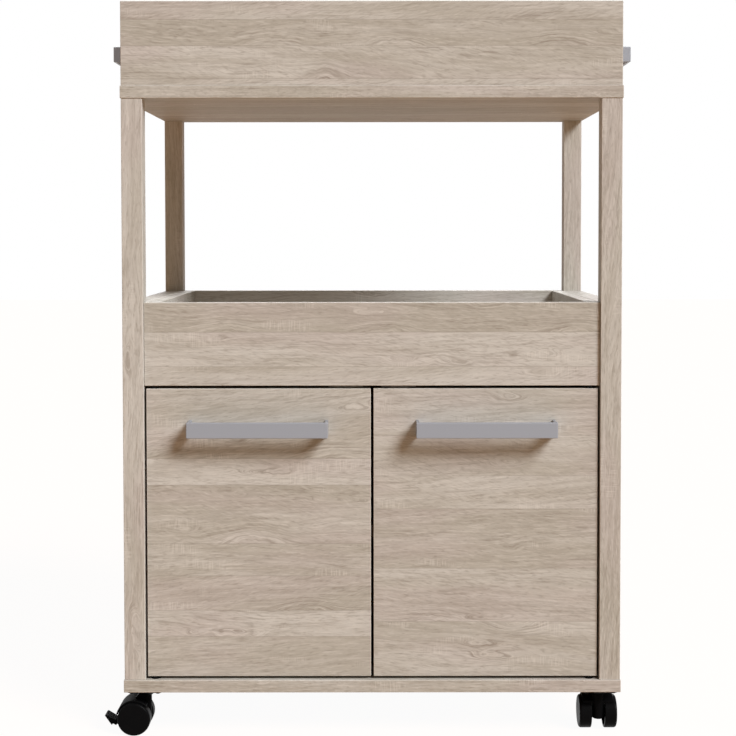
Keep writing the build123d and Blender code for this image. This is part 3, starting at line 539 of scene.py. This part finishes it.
@dataclass(frozen=True)
class Finish:
    """A finish with spots of a second colour and a fine relief.

    Attributes:
        colour: The main colour.
        spot: The spots' colour.
        spot_mm: The size of a spot along each axis.
        spot_detail: How many finer layers make the spots ragged.
        spot_span: The values of the spots' noise where one starts and where it is full.
        spot_share: How much a full spot covers.
        relief_mm: The size of the relief's bumps along each axis.
        relief_detail: How many finer layers lie on the relief.
        relief: Its strength, and its depth in millimetres.
        roughness: The surface's roughness.
        rub_span: The values of the spots' noise between which the roughness changes.
        rub: How far it changes at both ends of that span.
        metallic: How metallic the surface is.
        ior: Its index of refraction.
        specular: Its sheen; 0.5 is the plain one of that index.
    """

    colour: str
    spot: str
    spot_mm: tuple[float, ...] = (1.0,)
    spot_detail: float = 3.0
    spot_span: Pair = (0.0, 1.0)
    spot_share: float = 1.0
    relief_mm: tuple[float, ...] = (1.0,)
    relief_detail: float = 2.0
    relief: Pair = (0.0, 0.05)
    roughness: float = 0.42
    rub_span: Pair = (0.3, 0.8)
    rub: Pair = (0.0, 0.0)
    metallic: float = 0.0
    ior: float = 1.5
    specular: float = 0.5

    def material(self, name: str) -> Material:
        """Builds the finish's material.

        Args:
            name: The material's name.

        Returns:
            The new material.
        """
        material, tree = new_material(name)
        place = place_mm(tree)
        spots = patches(tree, place, self.spot_mm, self.spot_detail)
        share = add_node(tree, SPREAD, (spots, *self.spot_span, 0.0, self.spot_share))
        colours = {0: share, 6: linear(self.colour), 7: linear(self.spot)}
        height = patches(tree, place, self.relief_mm, self.relief_detail)
        strength, depth_mm = self.relief
        relief = {"Height": height, "Strength": strength, "Distance": depth_mm * MM}
        rough = (self.roughness + change for change in self.rub)
        inputs = {
            "Base Color": add_node(tree, MIX, colours, data_type="RGBA"),
            "Metallic": self.metallic,
            "Roughness": add_node(tree, SPREAD, (spots, *self.rub_span, *rough)),
            "Normal": add_node(tree, BUMP, relief),
            "IOR": self.ior,
            "Specular IOR Level": self.specular,
        }
        add_node(tree, OUTPUT, (add_node(tree, SHADER, inputs),))
        return material


@dataclass(frozen=True)
class ZincPaint(Finish):
    """Die-cast zinc under satin grey metallic paint, with fine flakes and a faint orange peel."""

    colour: str = "#9A9EA7"
    spot: str = "#A6AAB3"
    spot_mm: tuple[float, ...] = (0.5,)
    spot_detail: float = 1.0
    spot_span: Pair = (0.45, 0.75)
    spot_share: float = 0.5
    relief_mm: tuple[float, ...] = (1.6,)
    relief: Pair = (0.1, 0.05)
    metallic: float = 0.25


@dataclass(frozen=True)
class MouldedNylon(Finish):
    """Nylon from a spark-eroded mould: an even fine grain with a low sheen, worn smoother or rougher here
    and there.
    """

    spot_mm: tuple[float, ...] = (18.0,)
    spot_span: Pair = (0.5, 0.8)
    spot_share: float = 0.6
    relief_mm: tuple[float, ...] = (0.35,)
    relief: Pair = (0.12, 0.05)
    rub: Pair = (-0.05, 0.08)
    ior: float = 1.53


@dataclass(frozen=True)
class PlatedSteel(Finish):
    """Steel with bright zinc plating: a slightly cloudy, soft metallic grey."""

    colour: str = "#C9C9CB"
    spot: str = "#A9AAAE"
    spot_mm: tuple[float, ...] = (3.0,)
    roughness: float = 0.33
    rub_span: Pair = (0.3, 0.7)
    rub: Pair = (-0.06, 0.1)
    metallic: float = 1.0


@dataclass(frozen=True)
class Beech(Finish):
    """Turned beech dowel: warm pale wood with short darker flecks along it, fluted and unpolished."""

    colour: str = "#D2B48C"
    spot: str = "#B08E66"
    spot_mm: tuple[float, ...] = (0.5, 0.5, 3.0)
    spot_detail: float = 2.0
    spot_span: Pair = (0.5, 0.7)
    relief_mm: tuple[float, ...] = (0.5, 0.5, 3.0)
    relief: Pair = (0.2, 0.1)
    roughness: float = 0.7
    specular: float = 0.3


@dataclass(frozen=True)
class Cut:
    """How one board is cut from the print.

    Attributes:
        grain: The axis of its grain.
        joints_mm: Where its strips meet, from its centre; left out, they are drawn at random.
        figures: Its flames.
    """

    grain: Axis
    joints_mm: tuple[float, ...] | None = None
    figures: tuple[Figure, ...] = ()


@dataclass
class Boards:
    """The cabinet's boards and posts, each with its own stretch of the oak print.

    Attributes:
        cuts: How each board is cut.
        step_mm: How far the print moves on from one board to the next.
        strip_mm: Narrowest and widest strip where the joints are drawn at random.
        seed: The start of the random draws.
    """

    cuts: dict[str, Cut] = field(
        default_factory=lambda: {
            "base_panel": Cut(Axis.X),
            "post_front_left": Cut(Axis.Z, ()),
            "post_front_right": Cut(Axis.Z, ()),
            "post_back_left": Cut(Axis.Z, ()),
            "post_back_right": Cut(Axis.Z, ()),
            "side_panel_left": Cut(Axis.Z),
            "side_panel_right": Cut(Axis.Z),
            "back_panel": Cut(Axis.Z),
            "cabinet_shelf": Cut(Axis.X),
            "bottle_tray_floor": Cut(Axis.X),
            "bottle_tray_front": Cut(
                Axis.X,
                (-27.0, 14.5),
                (
                    *(Figure(along, 14.5) for along in (-181, 16, 245)),
                    Figure(79, -27, 1, (34.0, 26.0), 12.0),
                ),
            ),
            "bottle_tray_back": Cut(Axis.X),
            "bottle_tray_left": Cut(Axis.Y),
            "bottle_tray_right": Cut(Axis.Y),
            "top_tray_floor": Cut(Axis.X),
            "top_tray_front": Cut(
                Axis.X,
                (-42.0, -3.0, 28.0),
                (
                    *(Figure(along, -3) for along in (-118, 29, 226)),
                    Figure(-57, -42, 1, (34.0, 30.0), 14.0),
                ),
            ),
            "top_tray_back": Cut(Axis.X),
            "top_tray_left": Cut(Axis.Y),
            "top_tray_right": Cut(Axis.Y),
            "left_door": Cut(
                Axis.X,
                (-126.0, -94.0, -52.0, -13.0, 58.0, 90.0),
                (Figure(-6, -13, 1, (56.0, 38.0), 24.0), Figure(60, -94), Figure(90, 90, 1, (64.0, 30.0))),
            ),
            "right_door": Cut(
                Axis.X,
                (-108.0, -43.0, 29.0, 69.0, 118.0),
                (Figure(35, 118), Figure(35, -108, -1), Figure(-70, -108, 1, (60.0, 22.0), 14.0)),
            ),
        }
    )
    step_mm: float = 41.0
    strip_mm: Pair = (34.0, 72.0)
    seed: int = 7

    def build(self) -> None:
        """Gives every board its oak print."""
        draw = random.Random(self.seed)
        for place, (name, cut) in enumerate(self.cuts.items()):
            low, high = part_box(name)
            joints = cut.joints_mm
            if joints is None:
                joints = self._draw_joints(draw, max(high - low) / MM)
            finish = OakMelamine(cut.grain, self.step_mm * place, joints, cut.figures)
            dress(name, finish.material(f"oak_print_melamine_{name}", low, high))

    def _draw_joints(self, draw: random.Random, length_mm: float) -> tuple[float, ...]:
        """Draws the strip joints of a board.

        Args:
            draw: The source of random numbers.
            length_mm: The board's length, which is never less than its width.

        Returns:
            The joints' places from the board's centre.
        """
        joints = []
        joint = -length_mm / 2 + draw.uniform(*self.strip_mm)
        while joint < length_mm / 2:
            joints.append(round(joint, 1))
            joint += draw.uniform(*self.strip_mm)
        return tuple(joints)


@dataclass
class Fittings:
    """Handles, castors and fasteners that keep their CAD shapes."""

    def finishes(self) -> dict[str, Material]:
        """Builds the finish of each of the record's slots but the boards'.

        Returns:
            The material of each slot.
        """
        black = MouldedNylon("#0A0A0B", "#0F0F10", roughness=0.45, specular=0.02)
        black = black.material("black_moulded_nylon")
        wheel = MouldedNylon("#0B0B0C", "#0F0F10", roughness=0.36, specular=0.03)
        coated = MouldedNylon("#0C0C0D", "#151516", roughness=0.4, specular=0.1)
        white = MouldedNylon("#E4E4E0", "#D8D8D2", roughness=0.5)
        steel = PlatedSteel().material("zinc_plated_steel")
        return {
            "handle_metal": ZincPaint().material("grey_zinc_paint"),
            "castor_black": black,
            "black_plastic": black,
            "black_steel": coated.material("black_coated_steel"),
            "wheel_black": wheel.material("black_wheel_nylon"),
            "white_plastic": white.material("white_moulded_nylon"),
            "steel_hardware": steel,
            "castor_steel": steel,
            "cam_metal": PlatedSteel("#B9BABD", "#97999D", roughness=0.45).material("die_cast_zinc"),
            "dowel_wood": Beech().material("turned_beech"),
        }

    def build(self, finishes: dict[str, Material]) -> None:
        """Gives every fitting its finish.

        Args:
            finishes: The material of each slot.
        """
        for part in frame["record"]["subparts"]:
            finish = finishes.get(part["material_slot"])
            if finish is not None:
                dress(part["node"], finish)


class Head(Enum):
    """The shape of a screw's head."""

    PAN = 0
    COUNTERSUNK = 1


@dataclass(frozen=True)
class Screw:
    """One kind of screw.

    Attributes:
        head: The shape of its head: a pan with a cross recess, or countersunk with a hex socket.
        shank_mm: Radius and length of the threaded shank, from under the pan or from the flush top.
        head_mm: Radius and height of the head.
        pitch_mm: From one thread to the next.
        tip_mm: Length of the taper at the end.
    """

    head: Head
    shank_mm: Pair
    head_mm: Pair
    pitch_mm: float
    tip_mm: float

    def inputs(self) -> dict[str, float | bool]:
        """Gives the values of the node group's inputs."""
        return {
            "Shank Radius": self.shank_mm[0] * MM,
            "Length": self.shank_mm[1] * MM,
            "Head Radius": self.head_mm[0] * MM,
            "Head Height": self.head_mm[1] * MM,
            "Pitch": self.pitch_mm * MM,
            "Tip": self.tip_mm * MM,
            "Countersunk": self.head is Head.COUNTERSUNK,
        }


HANDLE_SCREW = Screw(Head.PAN, (2.0, 23.0), (4.0, 2.5), 0.9, 0.6)


@dataclass
class Screws:
    """Every screw that shows its head or its end, with a thread and a recess, in place of its CAD node.

    Attributes:
        kinds: The kind of screw of each CAD node.
        merge_mm: Points of a CAD node that lie nearer than this are one.
        crease_deg: Edges sharper than this stay sharp.
        dome_corners: Corners around a pan's dome, and its rings.
        dome_power: How flat the dome's top is.
        cross: Length and width of the cross recess as shares of the head's radius, and its depth as
            a share of the head's height.
        cone_corners: Corners around a countersunk head.
        hex_share: The hex socket's radius, as a share of the head's.
        core_corners: Corners around the core.
        core_share: The thread's root, as a share of the shank's radius.
        blunt_share: The tip's end, as a share of the core's radius.
        thread_share: How much of the straight shank the thread covers.
        turn_steps: Corners in one turn of the thread.
    """

    kinds: dict[str, Screw] = field(
        default_factory=lambda: {
            "castor_screws": Screw(Head.PAN, (2.0, 11.0), (3.2, 2.0), 1.5, 2.0),
            "catch_screws": Screw(Head.PAN, (1.5, 12.0), (3.0, 2.0), 1.3, 2.0),
            "tray_handle_screws": HANDLE_SCREW,
            "left_door_handle_screws": HANDLE_SCREW,
            "right_door_handle_screws": HANDLE_SCREW,
            "long_screws": Screw(Head.COUNTERSUNK, (3.2, 50.0), (5.0, 3.5), 3.0, 5.0),
        }
    )
    merge_mm: float = 0.001
    crease_deg: float = 35.0
    dome_corners: tuple[int, int] = (28, 22)
    dome_power: float = 0.55
    cross: Triple = (1.15, 0.24, 1.1)
    cone_corners: int = 32
    hex_share: float = 0.46
    core_corners: int = 20
    core_share: float = 0.78
    blunt_share: float = 0.25
    thread_share: float = 0.86
    turn_steps: int = 14

    def build(self, finishes: dict[str, Material]) -> None:
        """Builds every screw.

        Args:
            finishes: The material of each of the record's slots.
        """
        slots = {part["node"]: part["material_slot"] for part in frame["record"]["subparts"]}
        tree = self._tree()
        for node, kind in self.kinds.items():
            slot = slots[node]
            piece = self._row(tree, node, kind, finishes[slot])
            carrier = frame["nodes"][node].parent
            body = next(name for name, empty in frame["bodies"].items() if empty is carrier)
            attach(piece, body)
            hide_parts(node)
            LOG.info("built %s with %d faces", piece.name, len(piece.data.polygons))

    def _places(self, node: str, kind: Screw) -> list[tuple[Vector, Vector]]:
        """Finds where each screw of a CAD node sits and which way its head looks.

        Args:
            node: The CAD node.
            kind: Its kind of screw.

        Returns:
            The seat and the outward direction of each screw.
        """
        shape = bmesh.new()
        shape.from_mesh(frame["nodes"][node].data)
        bmesh.ops.remove_doubles(shape, verts=shape.verts, dist=self.merge_mm * MM)
        left = set(shape.verts)
        places = []
        while left:
            island, front = set(), [left.pop()]
            while front:
                vertex = front.pop()
                island.add(vertex)
                near = {edge.other_vert(vertex) for edge in vertex.link_edges} & left
                left -= near
                front.extend(near)
            places.append(self._place([vertex.co.copy() for vertex in island], kind))
        shape.free()
        return sorted(places, key=lambda place: tuple(place[0]))

    def _place(self, corners: list[Vector], kind: Screw) -> tuple[Vector, Vector]:
        """Finds the seat and the direction of one screw.

        Args:
            corners: The screw's points.
            kind: The kind of screw.

        Returns:
            Its seat and its outward direction.
        """
        low = Vector(min(corner[axis] for corner in corners) for axis in range(3))
        high = Vector(max(corner[axis] for corner in corners) for axis in range(3))
        size = high - low
        axis = max(range(3), key=lambda candidate: size[candidate])
        others = [other for other in range(3) if other != axis]
        middle = (low + high) / 2
        near = kind.head_mm[1] / 2 * MM
        reach = {}
        for end in (low, high):
            rim = [corner - middle for corner in corners if abs(corner[axis] - end[axis]) < near]
            reach[end[axis]] = max(math.hypot(*(corner[other] for other in others)) for corner in rim)
        top = max(reach, key=reach.get)
        way = Vector((0, 0, 0))
        way[axis] = math.copysign(1, top - middle[axis])
        seat = middle.copy()
        seat[axis] = top
        if kind.head is Head.PAN:
            seat -= way * kind.head_mm[1] * MM
        return seat, way

    def _row(self, tree: Tree, node: str, kind: Screw, finish: Material) -> bpy.types.Object:
        """Places one kind of screw on all the seats of its CAD node.

        Args:
            tree: The node group that builds the screws.
            node: The CAD node.
            kind: Its kind of screw.
            finish: The screws' material.

        Returns:
            One plain mesh object with all the node's screws.
        """
        places = self._places(node, kind)
        seats = bpy.data.meshes.new(f"{node}_seats")
        seats.from_pydata([seat for seat, _ in places], [], [])
        ways = seats.attributes.new("way", "FLOAT_VECTOR", "POINT")
        ways.data.foreach_set("vector", [part for _, way in places for part in way])
        row = bpy.data.objects.new(f"{node}_row", seats)
        bpy.context.scene.collection.objects.link(row)
        modifier = row.modifiers.new("screws", "NODES")
        modifier.node_group = tree
        values = {**kind.inputs(), "Finish": finish}
        for item in tree.interface.items_tree:
            if item.in_out == "INPUT" and item.name in values:
                modifier[item.identifier] = values[item.name]
        ready = row.evaluated_get(bpy.context.evaluated_depsgraph_get())
        mesh = bpy.data.meshes.new_from_object(ready)
        mesh.name = f"{node}_threaded"
        mesh.polygons.foreach_set("use_smooth", [True] * len(mesh.polygons))
        mesh.set_sharp_from_angle(angle=math.radians(self.crease_deg))
        bpy.data.objects.remove(row)
        piece = bpy.data.objects.new(f"{node}_threaded", mesh)
        bpy.context.scene.collection.objects.link(piece)
        return piece

    def _tree(self) -> Tree:
        """Builds the node group that puts a detailed screw on each point.

        Returns:
            The node group.
        """
        tree = bpy.data.node_groups.new("screw_row", "GeometryNodeTree")
        kinds = {"Geometry": "Geometry", "Countersunk": "Bool", "Finish": "Material"}
        floats = ("Shank Radius", "Length", "Head Radius", "Head Height", "Pitch", "Tip")
        for name in ("Geometry", *floats, "Countersunk", "Finish"):
            socket = f"NodeSocket{kinds.get(name, 'Float')}"
            tree.interface.new_socket(name=name, in_out="INPUT", socket_type=socket)
        tree.interface.new_socket(name="Geometry", in_out="OUTPUT", socket_type="NodeSocketGeometry")
        given = add_node(tree, "NodeGroupInput").outputs
        screw = add_node(tree, "GeometryNodeJoinGeometry")
        for part in (self._head(tree, given), *self._shank(tree, given)):
            tree.links.new(part.outputs[0], screw.inputs[0])
        way = add_node(tree, "GeometryNodeInputNamedAttribute", ("way",), data_type="FLOAT_VECTOR")
        turned = add_node(tree, "FunctionNodeAlignRotationToVector", {"Vector": way}, axis="Z")
        seats = {"Points": given["Geometry"], "Instance": screw, "Rotation": turned}
        placed = add_node(tree, "GeometryNodeInstanceOnPoints", seats)
        real = add_node(tree, "GeometryNodeRealizeInstances", (placed,))
        dressed = add_node(
            tree, "GeometryNodeSetMaterial", {"Geometry": real, "Material": given["Finish"]}
        )
        add_node(tree, "NodeGroupOutput", (dressed,))
        return tree

    def _lifted(self, tree: Tree, shape: Node, height: Value) -> Node:
        """Moves a shape along the screw's axis.

        Args:
            tree: The node group.
            shape: The shape.
            height: How far it moves.

        Returns:
            The moved shape.
        """
        offset = add_node(tree, JOIN, (0.0, 0.0, height))
        return add_node(tree, "GeometryNodeTransform", {"Geometry": shape, "Translation": offset})

    def _head(self, tree: Tree, given: bpy.types.bpy_prop_collection) -> Node:
        """Builds the head: a domed pan with a cross recess, or a cone with a hex socket.

        Args:
            tree: The node group.
            given: The group's inputs.

        Returns:
            The head.
        """
        radius, height = given["Head Radius"], given["Head Height"]
        around, rings = self.dome_corners
        ball = add_node(tree, "GeometryNodeMeshUVSphere", (around, rings, 1.0))
        axes = add_node(tree, SPLIT, (add_node(tree, "GeometryNodeInputPosition"),)).outputs
        above = add_node(tree, MATH, (axes[2], 0.0), operation="MAXIMUM")
        crown = add_node(tree, MATH, (above, self.dome_power), operation="POWER")
        crown = add_node(tree, MATH, (crown, height), operation="MULTIPLY")
        wide = [add_node(tree, MATH, (axes[axis], radius), operation="MULTIPLY") for axis in (0, 1)]
        spot = add_node(tree, JOIN, (*wide, crown))
        pan = add_node(tree, "GeometryNodeSetPosition", {"Geometry": ball, "Position": spot})
        arm, blade, depth, flat = (
            add_node(tree, MATH, (whole, share), operation="MULTIPLY")
            for whole, share in zip((radius, radius, height, radius), (*self.cross, self.hex_share))
        )
        crossed = add_node(tree, "GeometryNodeMeshBoolean", {"Mesh 1": pan}, operation="DIFFERENCE")
        for size in ((arm, blade, depth), (blade, arm, depth)):
            slot = add_node(tree, "GeometryNodeMeshCube", (add_node(tree, JOIN, size),))
            cutter = self._lifted(tree, slot, height)
            tree.links.new(cutter.outputs[0], crossed.inputs["Mesh 2"])
        sizes = {"Vertices": self.cone_corners, "Radius Top": radius, "Depth": height}
        cone = add_node(tree, "GeometryNodeMeshCone", {**sizes, "Radius Bottom": given["Shank Radius"]})
        down = add_node(tree, MATH, (height, -1.0), operation="MULTIPLY")
        sunk = self._lifted(tree, cone, down)
        key = add_node(tree, "GeometryNodeMeshCylinder", {"Vertices": 6, "Radius": flat, "Depth": radius})
        keyed = add_node(tree, "GeometryNodeMeshBoolean", {"Mesh 1": sunk}, operation="DIFFERENCE")
        tree.links.new(key.outputs[0], keyed.inputs["Mesh 2"])
        choice = (given["Countersunk"], crossed, keyed)
        return add_node(tree, "GeometryNodeSwitch", choice, input_type="GEOMETRY")

    def _shank(self, tree: Tree, given: bpy.types.bpy_prop_collection) -> tuple[Node, ...]:
        """Builds the core, the tapered tip and the thread.

        Args:
            tree: The node group.
            given: The group's inputs.

        Returns:
            The three shapes.
        """
        core = add_node(tree, MATH, (given["Shank Radius"], self.core_share), operation="MULTIPLY")
        straight = add_node(tree, MATH, (given["Length"], given["Tip"]), operation="SUBTRACT")
        sizes = {"Vertices": self.core_corners, "Radius": core, "Depth": straight}
        rod = add_node(tree, "GeometryNodeMeshCylinder", sizes)
        half = add_node(tree, MATH, (straight, -0.5), operation="MULTIPLY")
        blunt = add_node(tree, MATH, (core, self.blunt_share), operation="MULTIPLY")
        sizes = {"Vertices": self.core_corners, "Radius Top": core, "Radius Bottom": blunt}
        tip = add_node(tree, "GeometryNodeMeshCone", {**sizes, "Depth": given["Tip"]})
        bottom = add_node(tree, MATH, (given["Length"], -1.0), operation="MULTIPLY")
        ridge = add_node(tree, MATH, (given["Shank Radius"], core), operation="SUBTRACT")
        run = add_node(tree, MATH, (straight, self.thread_share), operation="MULTIPLY")
        turns = add_node(tree, MATH, (run, given["Pitch"]), operation="DIVIDE")
        # A spiral takes its steps in a turn, its turns, its first and last radius, and its height.
        coil = add_node(tree, "GeometryNodeCurveSpiral", (self.turn_steps, turns, core, core, run))
        edge = add_node(tree, "GeometryNodeCurvePrimitiveCircle", {"Resolution": 4, "Radius": ridge})
        swept = {"Curve": coil, "Profile Curve": edge, "Fill Caps": True}
        thread = add_node(tree, "GeometryNodeCurveToMesh", swept)
        foot = add_node(tree, MATH, (given["Tip"], given["Length"]), operation="SUBTRACT")
        shapes = ((rod, half), (tip, bottom), (thread, foot))
        return tuple(self._lifted(tree, shape, height) for shape, height in shapes)


@dataclass
class Studio:
    """White sweep, a soft key light from the upper right, a soft light behind and a pale surround.

    Attributes:
        camera_mm: The camera's place; its Y is measured from the posts' front.
        pitch_deg: How far it looks down.
        roll_deg: How far it is turned about its line of sight.
        lens_mm: Focal length.
        sensor_mm: The sensor's width.
        shift: How far the frame is slid, in widths of the picture.
        light_spread_deg: How wide each lamp looks from the cabinet.
        to_light: Direction from the cabinet to the key light.
        light_strength: The key light's strength.
        behind: Direction to the light behind, which only the back and the tops catch.
        behind_strength: That light's strength.
        surround: Strength of the light from all around.
        surround_colour: Its warm tint, as from a room's pale walls.
        paper: The floor's own colour, which it gives to the light that it throws back.
        glow: How much of the floor's look is plain white, and how strong that is.
        floor_m: Half of the floor's width.
    """

    camera_mm: Triple = (8.815, -1828.8, 609.2)
    pitch_deg: float = 2.159
    roll_deg: float = -0.045
    lens_mm: float = 74.84
    sensor_mm: float = 36.0
    shift: Pair = (-0.0154, -0.1049)
    light_spread_deg: float = 24.0
    to_light: Triple = (1.04, -1.0, 1.12)
    light_strength: float = 3.55
    behind: Triple = (0.0, 1.0, 0.5)
    behind_strength: float = 1.25
    surround: float = 0.205
    surround_colour: str = "#FFE6CC"
    paper: str = "#C09B76"
    glow: Pair = (0.90, 1.065)
    floor_m: float = 12.0

    def build(self) -> None:
        """Sets up the camera, the lights, the surround and the floor."""
        self._camera()
        self._lamp("key_light", self.to_light, self.light_strength)
        self._lamp("back_light", self.behind, self.behind_strength)
        self._surround()
        self._floor()
        bpy.context.scene.view_settings.view_transform = "Standard"

    def _camera(self) -> None:
        """Makes the camera at the photograph's viewpoint."""
        data = bpy.data.cameras.new("camera")
        data.lens = self.lens_mm
        data.sensor_width = self.sensor_mm
        data.shift_x, data.shift_y = self.shift
        camera = bpy.data.objects.new("camera", data)
        bpy.context.scene.collection.objects.link(camera)
        front_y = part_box("post_front_left")[0].y
        x, y, z = self.camera_mm
        camera.location = (x * MM, front_y + y * MM, z * MM)
        tilt = Matrix.Rotation(math.radians(90 - self.pitch_deg), 3, "X")
        roll = Matrix.Rotation(math.radians(self.roll_deg), 3, "Z")
        camera.rotation_euler = (tilt @ roll).to_euler()
        bpy.context.scene.camera = camera

    def _lamp(self, name: str, way: Triple, strength: float) -> None:
        """Makes one far lamp.

        Args:
            name: The lamp's name.
            way: Direction from the cabinet to the lamp.
            strength: Its strength.
        """
        light = bpy.data.lights.new(name, "SUN")
        light.energy = strength
        light.angle = math.radians(self.light_spread_deg)
        lamp = bpy.data.objects.new(name, light)
        bpy.context.scene.collection.objects.link(lamp)
        lamp.rotation_euler = Vector(way).to_track_quat("Z", "Y").to_euler()

    def _surround(self) -> None:
        """Makes the light from all around, which the camera sees as white."""
        world = bpy.data.worlds.new("surround")
        bpy.context.scene.world = world
        world.use_nodes = True
        tree = world.node_tree
        tree.nodes.clear()
        seen = self._seen(tree)
        strength = add_node(tree, SPREAD, (seen, 0.0, 1.0, self.surround, 1.0))
        colours = {0: seen, 6: linear(self.surround_colour), 7: linear(WHITE)}
        colour = add_node(tree, MIX, colours, data_type="RGBA")
        background = add_node(tree, "ShaderNodeBackground", (colour, strength))
        add_node(tree, "ShaderNodeOutputWorld", (background,))

    def _seen(self, tree: Tree) -> Node:
        """Tells rays from the camera, a reflection or a transmission from the light's own.

        Args:
            tree: The node tree of the floor or the surround.

        Returns:
            A node that gives 1 for such rays.
        """
        rays = add_node(tree, "ShaderNodeLightPath").outputs
        through = (rays["Is Glossy Ray"], rays["Is Transmission Ray"])
        mirrored = add_node(tree, MATH, through, operation="MAXIMUM")
        return add_node(tree, MATH, (rays["Is Camera Ray"], mirrored), operation="MAXIMUM")

    def _floor(self) -> None:
        """Makes the white floor, which keeps a faint shadow of the cabinet."""
        mesh = bpy.data.meshes.new("floor")
        half = self.floor_m
        corners = [(-half, -half, 0), (half, -half, 0), (half, half, 0), (-half, half, 0)]
        mesh.from_pydata(corners, [], [(0, 1, 2, 3)])
        floor = bpy.data.objects.new("floor", mesh)
        bpy.context.scene.collection.objects.link(floor)
        material, tree = new_material("white_paper_sweep")
        matt = add_node(tree, "ShaderNodeBsdfDiffuse", (linear(self.paper),))
        white_share, white = self.glow
        glow = add_node(tree, "ShaderNodeEmission", (linear(WHITE), white))
        share = add_node(tree, SPREAD, (self._seen(tree), 0.0, 1.0, 0.0, white_share))
        add_node(tree, OUTPUT, (add_node(tree, "ShaderNodeMixShader", (share, matt, glow)),))
        mesh.materials.append(material)


def main() -> None:
    """Dresses the cabinet and sets up the studio."""
    logging.basicConfig(level=logging.INFO, format="%(name)s: %(message)s")
    Studio().build()
    Boards().build()
    fittings = Fittings()
    finishes = fittings.finishes()
    fittings.build(finishes)
    Screws().build(finishes)


if __name__ == "__main__":
    main()
